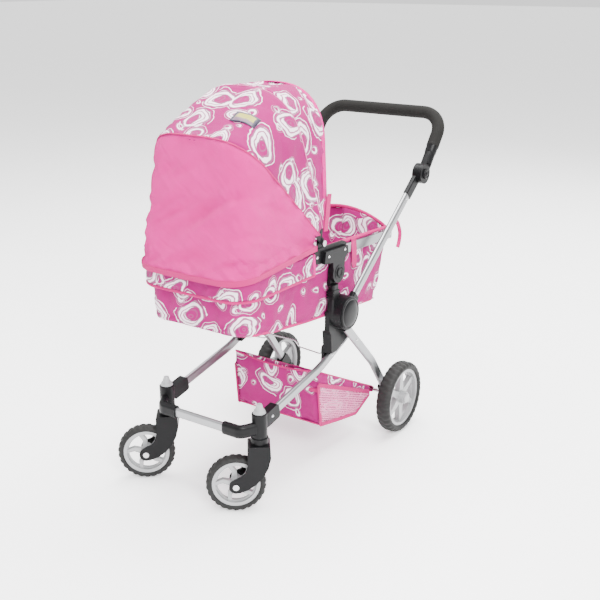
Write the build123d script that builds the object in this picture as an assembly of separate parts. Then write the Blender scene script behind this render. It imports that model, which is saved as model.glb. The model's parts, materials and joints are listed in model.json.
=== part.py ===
from build123d import *
import math
import os

# Doll stroller: a folding chassis on two swivel casters and two large rear wheels,
# a push handle that folds and adjusts, and a lift-off carrycot with a folding hood.
# Millimetres, +Z up, floor at Z = 0. The front faces -Y and the push handle is at +Y.
# X is the width, with the stroller's left side at +X.

# --- Driving dimensions ---
AXLE_Y, AXLE_Z = 164.0, 82.0            # rear axle, as high as the wheel radius
REAR_WHEEL_X, REAR_TYRE_WIDTH, REAR_RIM_R = 169.0, 34.0, 66.0
STEM_X, STEM_Y = 117.0, -295.0          # swivel axis of a caster
CASTER_R, CASTER_RIM_R, CASTER_WIDTH = 59.0, 47.0, 25.0
CASTER_TRAIL, CASTER_HEADING = 47.0, -142.0   # both casters are turned the same way at rest
FORK_TOP, STEM_BOTTOM, STEM_TOP, STEM_CAP_TOP = 143.0, 143.6, 206.0, 223.7
HUB_Y, HUB_Z, HUB_R = -36.0, 338.0, 35.5      # fold axis
TILT_Y, TILT_Z, TILT_R = -47.0, 425.0, 22.0   # axis on which the carrycot tilts
HOOD_Y, HOOD_Z = -101.0, 497.0                # axis on which the hood bows turn
KNUCKLE_Y, KNUCKLE_Z, KNUCKLE_R = 264.0, 577.0, 22.0   # axis on which the handlebar turns
HANDLE_ANGLE, HANDLE_REACH = 52.2, 152.0      # handlebar plane, and grip distance from its axis
HANDLE_X, HANDLE_BEND, HANDLE_R, GRIP_R = 155.0, 52.0, 9.0, 14.0
TUBE_WIDE, TUBE_THICK, TUBE_WALL = 20.0, 10.0, 1.5     # flat oval aluminium tube
FRONT_LEG_X, REAR_LEG_X, PUSHER_X = 116.0, 140.0, 144.5
CROSS_Y, CROSS_Z = -331.0, 174.0
# Both casters trail to the right, so the box's middle lies off the mid-plane. Everything is
# written about the mid-plane and moved by this much, to put the origin at the middle of the box.
CENTRING = (6.2, 0.0, 0.0)
GAP = 0.3                # between bodies that move past each other
FIT = 0.06               # radial running clearance of a pin
HINGE_PIN_R, STEM_R, CASTER_AXLE_R, AXLE_R, HOOD_PIN_R = 5.0, 4.0, 3.5, 4.0, 3.0

# Layers of the hub along X, from the inside out.
HOUSING_X, REAR_DISC_X = (123.0, 139.0), (139.3, 146.6)
PUSHER_DISC_X, HUB_CAP_X = (146.9, 155.0), (155.0, 158.0)
DISC_CLEAR_R = HUB_R + 1.3              # tubes and collars stay outside this radius

# Carrycot: side profile of the tub, and the flat bar that carries it.
TUB_HALF, TUB_WALL, TUB_CORNER, TUB_REAR_CORNER = 117.2, 3.0, 40.0, 15.0
TUB_PROFILE = [(-337, 368), (-256, 355), (-126, 339), (138, 315), (185, 464), (-337, 487)]
BAR_X, BAR_THICK, BAR_HIGH, BAR_FRONT, BAR_REAR = 120.7, 6.0, 20.0, -343.0, 189.0
BAR_SLOPE, BAR_Z, BAR_BEND = -2.6, 462.0, 45.0    # bar tilt about X, its height at Y = 0
BAR_OUT = BAR_X + BAR_THICK / 2
SKIRT_HALF, SKIRT_FRONT, SKIRT_REAR, SKIRT_WALL, SKIRT_CORNER = 129.0, -359.0, -130.0, 4.6, 50.0
SKIRT_Z, SKIRT_HIGH = 437.0, 42.0
BOARD_THICK, BOARD_HALF = 5.0, 108.0
STRAP_Y, STRAP_Z, STRAP_THICK = (18.0, 38.0), (416.0, 474.0), 1.5

# Hood: U-shaped sections in planes through the hood axis, stated by angle, reach and half width.
BOW_LEAN, BOW_CORNER, BOW_STRIP, BOW_THICK = 15.0, 58.0, 10.0, 2.0
PANEL_START, PANEL_THICK, LEAN_START = 70.0, 1.5, 75.0
FRONT_BOW, MIDDLE_BOW, REAR_BOW = 134.6, 105.0, 84.0

SIDES = {"left": 1, "right": -1}
ON_BASE = (Align.CENTER, Align.CENTER, Align.MIN)
parts = {}


# --- Shapes used again and again ---
def disc(radius, x0, x1, y, z):
    """Round solid along X between x0 and x1."""
    return Pos((x0 + x1) / 2, y, z) * Rot(0, 90, 0) * Cylinder(radius, x1 - x0)


def block(x0, x1, y0, y1, z0, z1):
    return Pos((x0 + x1) / 2, (y0 + y1) / 2, (z0 + z1) / 2) * Box(x1 - x0, y1 - y0, z1 - z0)


def slab(points, x0, x1):
    """Side profile, given as (y, z) points, from x0 to x1."""
    outline = make_face(Polyline(*[(x0, y, z) for y, z in points], close=True))
    return extrude(outline, amount=x1 - x0, dir=(1, 0, 0))


def along(path, outer, inner=None):
    """Sweep a section along a path; the section's local x stays along the X axis."""
    start = Plane(origin=path @ 0, x_dir=(1, 0, 0), z_dir=path % 0)
    section = outer if inner is None else outer - inner
    return sweep(start * section, path=path)


def oval(shrink=0.0):
    return SlotOverall(TUBE_WIDE - 2 * shrink, TUBE_THICK - 2 * shrink, rotation=90)


def leg_path(x, points, radius):
    corners = [(x, y, z) for y, z in points]
    return FilletPolyline(*corners, radius=radius) if len(corners) > 2 else Line(*corners)


def turned(y, z, angle):
    """Place and turn a solid that is modelled along +Y at the origin, about X."""
    return Pos(0, y, z) * Rot(angle, 0, 0)


def sided(name, build, side):
    """Keep a solid built for the left side, or its mirror image for the right."""
    parts[f"{name}_{side}"] = build if side == "left" else mirror(build, Plane.YZ)


def group(*pieces):
    return Compound([solid for piece in pieces for solid in piece.solids()])


def pair(solid):
    return group(solid, mirror(solid, Plane.YZ))


def rivet(x, y, z, radius=3.2, height=1.4):
    """Domed rivet head on a face that looks outwards along X."""
    return Pos(x, y, z) * Rot(0, 90, 0) * Cone(radius, radius * 0.55, height, align=ON_BASE)


# --- Front end: cross tube, elbows with stem housings, caps ---
front_leg_points = [(-276, 185.2), (-85, 225), (16, 266)]
front_leg_route = leg_path(FRONT_LEG_X, front_leg_points, 250)
front_leg_solid = along(front_leg_route, oval())
front_leg = along(front_leg_route, oval(), oval(TUBE_WALL))
leg_slope = math.degrees(math.atan2(225 - 185.2, 276 - 85))

CROSS_END = 88.0
cross_section = Plane(origin=(-CROSS_END, CROSS_Y, CROSS_Z), x_dir=(0, 1, 0), z_dir=(1, 0, 0))
cross_full = extrude(cross_section * oval(), amount=2 * CROSS_END)
cross_bore = extrude(cross_section * oval(TUBE_WALL), amount=2 * CROSS_END)
parts["front_cross_tube"] = cross_full - cross_bore


def elbow_bracket():
    housing = Pos(STEM_X, STEM_Y, STEM_BOTTOM) * Cylinder(15, STEM_TOP - STEM_BOTTOM, align=ON_BASE)
    housing = fillet(housing.edges().group_by(Axis.Z)[-1], 2)
    collar = Pos(STEM_X, STEM_Y, STEM_BOTTOM) * Cylinder(17, 12, align=ON_BASE)
    route = FilletPolyline((60, CROSS_Y, CROSS_Z), (98, CROSS_Y, CROSS_Z),
                           (116, -303, CROSS_Z + 2), radius=16)
    start = Plane(origin=route @ 0, x_dir=(0, 1, 0), z_dir=route % 0)
    arm = sweep(start * SlotOverall(27, 16, rotation=90), path=route)
    lug = Pos(FRONT_LEG_X, -262, 188.2) * Rot(leg_slope, 0, 0) * Box(17, 46, 30)
    lug = fillet(lug.edges().filter_by(Axis.X), 6)
    body = housing + collar + arm + lug
    body -= Pos(STEM_X, STEM_Y, 170) * Cylinder(STEM_R + FIT, 90)
    return body - cross_full - front_leg_solid


CAP_BASE = 6.0
stem_cap = Cone(12.5, 10.5, CAP_BASE, align=ON_BASE)
stem_cap += Pos(0, 0, CAP_BASE) * Cone(8.5, 5.2, STEM_CAP_TOP - STEM_TOP - CAP_BASE, align=ON_BASE)
stem_cap -= Cylinder(STEM_R + 1, 2 * CAP_BASE, align=ON_BASE)
parts["stem_caps"] = pair(Pos(STEM_X, STEM_Y, STEM_TOP) * stem_cap)


# --- Casters, modelled trailing along +X from the swivel axis, then turned ---
FORK_WIDE, FORK_GAP, FORK_BOSS_R = 42.0, 31.0, 13.5
STEM_PIN_BOTTOM, STEM_PIN_HIGH = 120.0, 85.0
caster_axis = Pos(CASTER_TRAIL, 0, CASTER_R) * Rot(90, 0, 0)
stem_pin = Pos(0, 0, STEM_PIN_BOTTOM) * Cylinder(STEM_R, STEM_PIN_HIGH, align=ON_BASE)


def caster_fork():
    """A block under the stem, with two blades that curve down and back to the axle."""
    side = [(-20, FORK_TOP), (24, FORK_TOP), (24, 104), (29, 89), (38, 79), (52, 72), (52, 47), (40, 46),
            (24, 52), (8, 63), (-6, 79), (-16, 98), (-21, 118)]
    blade = make_face(Polyline(*[(x, -FORK_WIDE / 2, z) for x, z in side], close=True))
    fork = extrude(blade, amount=FORK_WIDE, dir=(0, 1, 0))
    fork = fillet(fork.edges().filter_by(Axis.Y), 4)
    fork += caster_axis * Cylinder(FORK_BOSS_R, FORK_WIDE)
    fork -= caster_axis * Cylinder(CASTER_R + 4, FORK_GAP)
    fork -= caster_axis * Cylinder(CASTER_AXLE_R, FORK_WIDE + 10)
    return fork - stem_pin


def wheel(outer, inner, width):
    """Tyre with rounded shoulders, revolved about the Y axis."""
    half = width / 2
    shoulder = min(half, outer - inner) * 0.55
    section = [(inner, 2 - half), (inner, half - 2), (outer - shoulder, half), (outer, half * 0.45),
               (outer, -half * 0.45), (outer - shoulder, -half)]
    tread = FilletPolyline(*[(r, 0, z) for r, z in section], radius=2, close=True)
    return revolve(make_face(tread), Axis.Z)


def rim(outer, width, hub_r, hub_width, bore_r, spokes, spoke_wide, bend):
    """Spoked plastic rim about the Z axis."""
    star = Cylinder(outer, width - 4) - Cylinder(outer - 7, width)
    star += Cylinder(outer - 5, 6) - Cylinder(outer - 10, 6)
    star += Cylinder(hub_r, hub_width)
    root, middle, tip = hub_r - 2, (outer - 7 + hub_r) / 2, outer - 6
    edge = [(root, 0.7, 0), (middle, 0.5, bend), (tip, 0.4, 0)]
    lower = [(r, shift - share * spoke_wide) for r, share, shift in edge]
    upper = [(r, shift + share * spoke_wide) for r, share, shift in reversed(edge)]
    spoke = extrude(make_face(Polyline(*lower, *upper, close=True)), amount=width * 0.22, both=True)
    for k in range(spokes):
        star += Rot(0, 0, 360 * k / spokes) * spoke
    return star - Cylinder(bore_r, hub_width + 20)


caster_tyre = caster_axis * wheel(CASTER_R, CASTER_RIM_R, CASTER_WIDTH)
caster_rim = caster_axis * rim(CASTER_RIM_R, 22, 11, 29, CASTER_AXLE_R + FIT, spokes=5, spoke_wide=9, bend=5)
caster_pin = caster_axis * Cylinder(CASTER_AXLE_R, FORK_WIDE)
for end in (1, -1):
    caster_pin += caster_axis * Pos(0, 0, end * (FORK_WIDE / 2 + 1)) * Cylinder(6, 2)
fork_solid = caster_fork()

for side, sign in SIDES.items():
    place = Pos(sign * STEM_X, STEM_Y, 0) * Rot(0, 0, CASTER_HEADING)
    parts[f"caster_fork_{side}"] = place * fork_solid
    parts[f"caster_pins_{side}"] = place * group(stem_pin, caster_pin)
    parts[f"caster_rim_{side}"] = place * caster_rim
    parts[f"caster_tyre_{side}"] = place * caster_tyre


# --- Hub: fixed housing with the carrycot socket, latch block and leg plate ---
NECK_X, NECK_Y, NECK_TOP = (124.0, 138.0), (-70.0, -50.0), 391.0
PLUG_X, PLUG_Y, PLUG_BOTTOM, PLUG_FIT = (126.5, 135.5), (-67.0, -53.0), 349.0, 0.2
LATCH_X, LATCH_Y, LATCH_Z = (109.0, 125.0), (-61.0, -43.0), (249.5, 298.0)


def hub_housing():
    body = disc(HUB_R, *HOUSING_X, HUB_Y, HUB_Z)
    column = block(*HOUSING_X, -72, -48, HUB_Z, NECK_TOP)
    column = fillet(column.edges().filter_by(Axis.Z), 4)
    body += column
    for k in range(3):
        rib_top = NECK_TOP - 6 * k - 2
        body += block(HOUSING_X[0] - 0.8, HOUSING_X[1], -72.8, -47.2, rib_top - 3, rib_top)
    body += slab([(-72, 345), (-72, 304), (-62, 290), (4, 290), (6, 310), (-20, 345)], 118.5, 130)
    body += slab([(-66, 299), (-62, 252), (-42, 252), (14, 277), (8, 299)], LATCH_X[0], 130)
    body += block(*LATCH_X, *LATCH_Y, *LATCH_Z)
    body += slab([(-63, 228), (-30, 236), (22, 262), (14, 282), (-61, 262)], 104, 111)
    body -= front_leg_solid
    body -= disc(HINGE_PIN_R, 100, 160, HUB_Y, HUB_Z) + disc(9, 100, 123, HUB_Y, HUB_Z)
    body -= block(PLUG_X[0] - PLUG_FIT, PLUG_X[1] + PLUG_FIT, PLUG_Y[0] - PLUG_FIT, PLUG_Y[1] + PLUG_FIT,
                  PLUG_BOTTOM - 2, NECK_TOP + 1)
    body -= block(112, 122, -58, -47, 253, 291)
    return body - block(103, 113, -56, -50, 253, 281)


hub_bolt = disc(HINGE_PIN_R, 119, 154.8, HUB_Y, HUB_Z) + disc(9, 119, 123, HUB_Y, HUB_Z)
hub_bolt -= disc(5.5, 119, 120.5, HUB_Y, HUB_Z)

# --- Fold release: a wire across the chassis, with a slider in each latch block ---
slider = block(113, 121, -57, -48, 254, 278)
wire_half = [(34, -57, 259), (46, -57, 247), (100, -57, 243), (101, -53, 262), (113, -53, 262)]
wire_points = [(-x, y, z) for x, y, z in reversed(wire_half)] + wire_half
wire_route = FilletPolyline(*wire_points, radius=4)
wire_start = Plane(origin=wire_route @ 0, z_dir=wire_route % 0)
parts["release_wire"] = sweep(wire_start * Circle(1.5), path=wire_route)
parts["latch_sliders"] = pair(slider)

# --- Rear legs, which fold about the hub ---
rear_leg_points = [(-24.6, 300.8), (88, 187), (152, 98)]
rear_leg_route = leg_path(REAR_LEG_X, rear_leg_points, 120)
rear_leg_solid = along(rear_leg_route, oval())
rear_leg = along(rear_leg_route, oval(), oval(TUBE_WALL))
rear_top_angle = math.degrees(math.atan2(187 - 300.8, 88 + 24.6))


def rear_disc():
    body = disc(HUB_R, *REAR_DISC_X, HUB_Y, HUB_Z)
    tongue = turned(-24.6, 300.8, rear_top_angle) * block(136.8, 143.2, -24, 40, -6, 6)
    body += tongue - disc(DISC_CLEAR_R, 120, REAR_DISC_X[0], HUB_Y, HUB_Z)
    return body - disc(HINGE_PIN_R + FIT, 130, 150, HUB_Y, HUB_Z)


def axle_lug():
    body = disc(12, 130.5, 150, AXLE_Y, AXLE_Z)
    lower_angle = math.degrees(math.atan2(98 - 187, 152 - 88))
    sleeve = turned(152, 98, lower_angle) * block(132, 148, -24, 12, -13, 13)
    body += fillet(sleeve.edges().filter_by(Axis.X), 4)
    return body - rear_leg_solid - disc(AXLE_R, 120, 160, AXLE_Y, AXLE_Z)


parts["axle_lugs"] = pair(axle_lug())
parts["rear_axle"] = disc(AXLE_R, -184, 184, AXLE_Y, AXLE_Z)
parts["rear_leg_rivets"] = pair(rivet(REAR_LEG_X + TUBE_THICK / 2, 14, 261.8))

rear_tyre = wheel(AXLE_Z, REAR_RIM_R, REAR_TYRE_WIDTH)
rear_rim = rim(REAR_RIM_R, 28, 14, 34, AXLE_R + FIT, spokes=6, spoke_wide=13, bend=0)
rear_cap = Pos(0, 0, 17) * Cylinder(11.5, 4, align=ON_BASE)
rear_cap += Pos(0, 0, 21) * Cone(11.5, 8.5, 1.5, align=ON_BASE)
rear_cap -= Cylinder(AXLE_R + 1, 38)
wheel_place = Pos(REAR_WHEEL_X, AXLE_Y, AXLE_Z) * Rot(0, 90, 0)

# --- Pusher: handle tubes that fold about the hub, up to the knuckles ---
pusher_line = math.degrees(math.atan2(KNUCKLE_Z - HUB_Z, KNUCKLE_Y - HUB_Y))
pusher_length = math.hypot(KNUCKLE_Z - HUB_Z, KNUCKLE_Y - HUB_Y)
hub_frame = turned(HUB_Y, HUB_Z, pusher_line)      # local +Y runs up the pusher tube
tube_start, tube_end = DISC_CLEAR_R + 1.5, pusher_length - 26
COLLAR_END, HUB_RIVET_AT = 45.0, 52.0      # along the tube from the hub axis


def pusher_tube_section(shrink, start, end):
    section = Plane(origin=(PUSHER_X, start, 0), x_dir=(1, 0, 0), z_dir=(0, 1, 0)) * oval(shrink)
    return extrude(section, amount=end - start)


pusher_tube_full = pusher_tube_section(0, tube_start, tube_end)
pusher_tube = pusher_tube_full - pusher_tube_section(TUBE_WALL, tube_start, tube_end)


def pusher_hub():
    """Modelled with the hub axis at the origin and the tube along +Y."""
    body = disc(HUB_R, *PUSHER_DISC_X, 0, 0)
    collar = fillet(block(139.4, 152, 20, COLLAR_END, -13, 13).edges().filter_by(Axis.Y), 4)
    collar -= disc(DISC_CLEAR_R, 130, PUSHER_DISC_X[0], 0, 0)
    body += collar
    return body - pusher_tube_full - disc(HINGE_PIN_R + FIT, 130, 160, 0, 0)


hub_cap = disc(33, *HUB_CAP_X, HUB_Y, HUB_Z)
hub_cap = fillet(hub_cap.edges().sort_by(Axis.X)[-1], 2.4)
parts["hub_caps"] = pair(hub_cap)


def knuckle_lower():
    """Modelled like the pusher hub, with its own disc at the tube's far end."""
    body = disc(KNUCKLE_R, 140, 151, pusher_length, 0)
    sleeve = block(139.6, 150.6, pusher_length - 66, pusher_length - 10, -12, 12)
    body += fillet(sleeve.edges().filter_by(Axis.Y), 3)
    return body - pusher_tube_full - disc(HINGE_PIN_R, 130, 160, pusher_length, 0)


knuckle_bolt = disc(HINGE_PIN_R, 140, 155.2, KNUCKLE_Y, KNUCKLE_Z)
pusher_face_x = PUSHER_X + TUBE_THICK / 2
pusher_rivets = [hub_frame * rivet(pusher_face_x, at, 0) for at in (HUB_RIVET_AT, pusher_length - 74)]
parts["pusher_fasteners"] = pair(group(knuckle_bolt, *pusher_rivets))

# --- Handlebar: adjustable bend with a foam grip ---
handle_frame = turned(KNUCKLE_Y, KNUCKLE_Z, HANDLE_ANGLE)     # local +Y runs up the handlebar


def handle_route(start):
    return FilletPolyline((HANDLE_X, start, 0), (HANDLE_X, HANDLE_REACH, 0), (-HANDLE_X, HANDLE_REACH, 0),
                          (-HANDLE_X, start, 0), radius=HANDLE_BEND)


def bar(route, radius, bore=0.0):
    start = Plane(origin=route @ 0, x_dir=(1, 0, 0), z_dir=route % 0)
    ring = Circle(radius) - Circle(bore) if bore else Circle(radius)
    return sweep(start * ring, path=route)


handle_start, grip_start = KNUCKLE_R + 4, 68.0
handle_outer = bar(handle_route(handle_start), HANDLE_R)
parts["handlebar_tube"] = handle_frame * bar(handle_route(handle_start), HANDLE_R, HANDLE_R - 1.2)
parts["foam_grip"] = handle_frame * bar(handle_route(grip_start), GRIP_R, HANDLE_R)

BUTTON_R, BUTTON_X = 11.0, (158.8, 165.5)


def knuckle_upper():
    """Modelled with the knuckle axis at the origin and the handlebar along +Y."""
    body = disc(KNUCKLE_R, 151.3, 161.5, 0, 0)
    socket = Pos(HANDLE_X, KNUCKLE_R + 16, 0) * Rot(90, 0, 0) * Cylinder(12, 30)
    neck = block(151.3, 161.5, 0, KNUCKLE_R + 20, -12, 12)
    body += neck + socket
    body -= disc(HINGE_PIN_R + FIT, 150, 155.4, 0, 0)
    body -= disc(BUTTON_R + 0.2, 155.6, 170, 0, 0)
    return body - handle_outer


knuckle_button = disc(BUTTON_R, *BUTTON_X, KNUCKLE_Y, KNUCKLE_Z)
knuckle_button = fillet(knuckle_button.edges().sort_by(Axis.X)[-1], 1.5)


# --- Seat adapters: posts that plug into the hub sockets and carry the tilt joints ---
def adapter_post():
    body = block(*PLUG_X, *PLUG_Y, PLUG_BOTTOM, NECK_TOP + 4)
    neck = block(*NECK_X, *NECK_Y, NECK_TOP + GAP, 402)
    body += fillet(neck.edges().filter_by(Axis.Z), 4)
    body += slab([(-70, 400), (-50, 400), (-28, 418), (-40, 446), (-66, 430)], 122, 128.8)
    body += disc(TILT_R - 1, 122, 128.8, TILT_Y, TILT_Z)
    return body + disc(HINGE_PIN_R, 122, 131.6, TILT_Y, TILT_Z)


parts["adapter_posts"] = pair(adapter_post())

# --- Carrycot: tilt brackets, flat bar, tub, skirt, floor board ---
bar_lean = math.radians(BAR_SLOPE)
bar_plane = Plane(origin=(0, 0, BAR_Z), x_dir=(1, 0, 0), z_dir=(0, -math.sin(bar_lean), math.cos(bar_lean)))
bar_corners = [(BAR_X, BAR_REAR), (BAR_X, BAR_FRONT), (-BAR_X, BAR_FRONT), (-BAR_X, BAR_REAR)]
bar_route = bar_plane * FilletPolyline(*[(x, y, 0) for x, y in bar_corners], radius=BAR_BEND)
bar_start = Plane(origin=bar_route @ 0, x_dir=(1, 0, 0), z_dir=bar_route % 0)
parts["cot_bar"] = sweep(bar_start * Rectangle(BAR_THICK, BAR_HIGH), path=bar_route)


def bar_z(y):
    return BAR_Z + y * math.tan(bar_lean)


TEE_X = (BAR_OUT + 5, 136.0)


def tilt_bracket():
    plate = [(-126, 458), (-70, 450), (-30, 450), (-9, 456), (-9, 479), (-20, 484), (-88, 487),
             (-114, 487), (-126, 485)]
    tee = [(-100, 454), (-70, 450), (-67, 432), (-27, 432), (-24, 450), (-12, 458), (-14, 474), (-96, 478)]
    hood_ear = [(-88, 486), (-91, 505), (-111, 505), (-114, 486)]
    body = slab(plate, BAR_OUT, TEE_X[0])
    body += slab(hood_ear, BAR_OUT, BAR_OUT + 3)
    body += slab(tee, *TEE_X)
    body += disc(TILT_R, 129.2, TEE_X[1], TILT_Y, TILT_Z)
    body += disc(15, TEE_X[1], 137, TILT_Y, TILT_Z) - disc(12, TEE_X[1], 137, TILT_Y, TILT_Z)
    body -= block(100, 129.2, -80, -10, 390, 449)
    body -= disc(HINGE_PIN_R + FIT, 120, 132, TILT_Y, TILT_Z) + disc(9.1, 132, 140, TILT_Y, TILT_Z)
    return body - disc(HOOD_PIN_R, 100, 140, HOOD_Y, HOOD_Z)


tilt_button = disc(9, 134.2, 138.2, TILT_Y, TILT_Z)
tilt_button = fillet(tilt_button.edges().sort_by(Axis.X)[-1], 0.8)
hood_pin = disc(HOOD_PIN_R, BAR_OUT, 134.2, HOOD_Y, HOOD_Z) + disc(6, 134.2, 136.2, HOOD_Y, HOOD_Z)
rivet_spots = [(TEE_X[1], -25, 468), (TEE_X[1], -84, 466), (TEE_X[0], -116, 470),
               (BAR_OUT, 181, bar_z(181))]
bar_rivets = [rivet(x, y, z, radius=3) for x, y, z in rivet_spots]
parts["cot_fasteners"] = pair(group(hood_pin, *bar_rivets))


def upright_edges(solid, reach, height=0.0):
    """Edges that run up the ends of a solid, beyond reach towards +Y, or -Y if it is negative."""
    def wanted(edge):
        a, b = edge @ 0, edge @ 1
        beyond = min(a.Y, b.Y) > reach if reach > 0 else max(a.Y, b.Y) < reach
        return beyond and abs(a.X - b.X) < 0.01 and abs(a.Z - b.Z) > height
    return solid.edges().filter_by(wanted)


def tub(inset, lid=0.0):
    """Closed solid of the tub, drawn in by inset on the sides, ends and floor."""
    (y0, z0), (y1, z1), (y2, z2), (y3, z3), (y4, z4), (y5, z5) = TUB_PROFILE
    side = [(y0 + inset, z0 + inset), (y1, z1 + inset), (y2, z2 + inset), (y3 - inset, z3 + inset),
            (y4 - inset, z4 + lid), (y5 + inset, z5 + lid)]
    body = slab(side, -TUB_HALF + inset, TUB_HALF - inset)
    body = fillet(upright_edges(body, -320, height=90), TUB_CORNER - inset)
    return fillet(upright_edges(body, 130, height=90), TUB_REAR_CORNER - inset)


cot_shell = tub(0) - tub(TUB_WALL, lid=1)
arch_left, arch_top, arch_right = (-112, 176, 455), (0, 176, 497), (112, 176, 455)
rear_arch = make_face(ThreePointArc(arch_left, arch_top, arch_right) + Line(arch_left, arch_right))
cot_shell += extrude(rear_arch, amount=4, dir=(0, 1, 0)) - block(-150, 150, 170, 176.5, 440, 463)
parts["cot_shell"] = cot_shell


def skirt_face(inset, corner):
    half, front = SKIRT_HALF - inset, SKIRT_FRONT + inset
    route = FilletPolyline((half, SKIRT_REAR), (half, front), (-half, front), (-half, SKIRT_REAR), radius=corner)
    return make_face(route + Line((-half, SKIRT_REAR), (half, SKIRT_REAR)))


skirt_ring = skirt_face(0, SKIRT_CORNER) - skirt_face(SKIRT_WALL, SKIRT_CORNER - 4)
parts["cot_skirt"] = extrude(Pos(0, 0, SKIRT_Z) * skirt_ring, amount=SKIRT_HIGH)
board_line = [(-328, 370.5), (-256, 358.5), (-126, 342.5), (132, 319)]
board_top = [(y, z + BOARD_THICK) for y, z in reversed(board_line)]
board = slab(board_line + board_top, -BOARD_HALF, BOARD_HALF)
parts["cot_board"] = fillet(upright_edges(board, -320, height=2), 30)
parts["bar_straps"] = pair(block(BAR_OUT + 0.1, BAR_OUT + 0.1 + STRAP_THICK, *STRAP_Y, *STRAP_Z))


# --- Hood: bows on one pair of pins, with panels that slide inside each other as it folds ---
def bow_plane(angle):
    a = math.radians(angle)
    return Plane(origin=(0, HOOD_Y, HOOD_Z), x_dir=(1, 0, 0), z_dir=(0, -math.sin(a), math.cos(a)))


def arch(reach, half, thick, start, lean=BOW_LEAN, corner=BOW_CORNER):
    """U-shaped face: legs that lean inwards, round corners and a flat top."""
    def filled(inset, base):
        w, top = half - inset, reach - inset
        half_outline = [(w, base), (w, LEAN_START), (w - lean, top)]
        other_half = [(-x, y) for x, y in reversed(half_outline)]
        face = make_face(Polyline(*half_outline, *other_half, close=True))
        return fillet(face.vertices().group_by(Axis.Y)[-1], corner - inset)
    return filled(0, start) - filled(thick, start - 0.001) - Pos(0, start - 5) * Rectangle(400, 10)


def bow(angle, reach, half):
    strip = extrude(bow_plane(angle) * arch(reach, half, BOW_THICK, 0), amount=BOW_STRIP / 2, both=True)
    for sign in (1, -1):
        strip += disc(7.5, *sorted((sign * (half - BOW_THICK), sign * half)), HOOD_Y, HOOD_Z)
    return strip - disc(HOOD_PIN_R + FIT, -150, 150, HOOD_Y, HOOD_Z)


HOOD_AXIS = Axis((0, HOOD_Y, HOOD_Z), (1, 0, 0))
PANEL_EDGE = 0.3         # angle by which a panel stops short of its bow


def panel(start, end, reach, half):
    section = bow_plane(start + PANEL_EDGE) * arch(reach, half, PANEL_THICK, PANEL_START)
    return revolve(section, HOOD_AXIS, end - start - 2 * PANEL_EDGE)


parts["hood_bow_front"] = bow(FRONT_BOW, 311.4, 133.5)
parts["hood_bow_middle"] = bow(MIDDLE_BOW, 301.9, 131.2)
parts["hood_bow_rear"] = bow(REAR_BOW, 299.5, 128.9)
parts["hood_panel_middle"] = panel(MIDDLE_BOW, FRONT_BOW, 313.0, 135.1)
parts["hood_panel_rear"] = panel(REAR_BOW, MIDDLE_BOW, 303.5, 132.8)
# Each station of the front panel: angle, reach and lean of its legs.
FRONT_STATIONS = [(FRONT_BOW + 0.4, 320, 15), (146, 296, 11), (159, 275, 8), (172, 267, 5), (185.8, 267, 3)]
FRONT_HALF, FRONT_CORNER = 135.2, 50.0
parts["hood_panel_front"] = loft([
    bow_plane(angle) * arch(reach, FRONT_HALF, PANEL_THICK, PANEL_START, lean, FRONT_CORNER)
    for angle, reach, lean in FRONT_STATIONS
])


# --- Basket slung between the front legs and the rear axle ---
BASKET_HALF, BASKET_WALL = 107.0, 2.5


def basket_body(inset, lid=0.0):
    side = [(-80 + inset, 213 + lid), (-76 + inset, 92 + inset), (78, 56 + inset),
            (134 - inset, 82 + inset), (134 - inset, 102 + lid)]
    return slab(side, inset - BASKET_HALF, BASKET_HALF - inset)


parts["basket"] = basket_body(0) - basket_body(BASKET_WALL, lid=4)

# --- Pieces in mirrored pairs that share one body ---
leg_face_x = FRONT_LEG_X + TUBE_THICK / 2
leg_rivets = [rivet(leg_face_x, -10, 255), rivet(leg_face_x, -44, 241.5),
              rivet(FRONT_LEG_X + 8.5, -262, 188.2)]
parts["frame_fasteners"] = pair(group(hub_bolt, *leg_rivets))
parts["rear_discs"] = pair(rear_disc())
parts["pusher_hubs"] = pair(hub_frame * pusher_hub())
parts["knuckle_lowers"] = pair(hub_frame * knuckle_lower())
parts["knuckle_uppers"] = pair(handle_frame * knuckle_upper())
parts["tilt_brackets"] = pair(tilt_bracket())

# --- Left and right pieces ---
for side in SIDES:
    sided("front_leg", front_leg, side)
    sided("elbow_bracket", elbow_bracket(), side)
    sided("hub_housing", hub_housing(), side)
    sided("rear_leg", rear_leg, side)
    sided("rear_tyre", wheel_place * rear_tyre, side)
    sided("rear_rim", wheel_place * rear_rim, side)
    sided("rear_wheel_cap", wheel_place * rear_cap, side)
    sided("pusher_tube", hub_frame * pusher_tube, side)
    sided("knuckle_button", knuckle_button, side)
    sided("tilt_button", tilt_button, side)

os.makedirs("parts", exist_ok=True)
for name, solid in parts.items():
    export_step(Pos(*CENTRING) * solid, f"parts/{name}.step")
box = (Pos(*CENTRING) * group(*parts.values())).bounding_box()
print(len(parts), "nodes, box", box.min, box.max)
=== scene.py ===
import json
import math

import bpy
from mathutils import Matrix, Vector, noise


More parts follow.
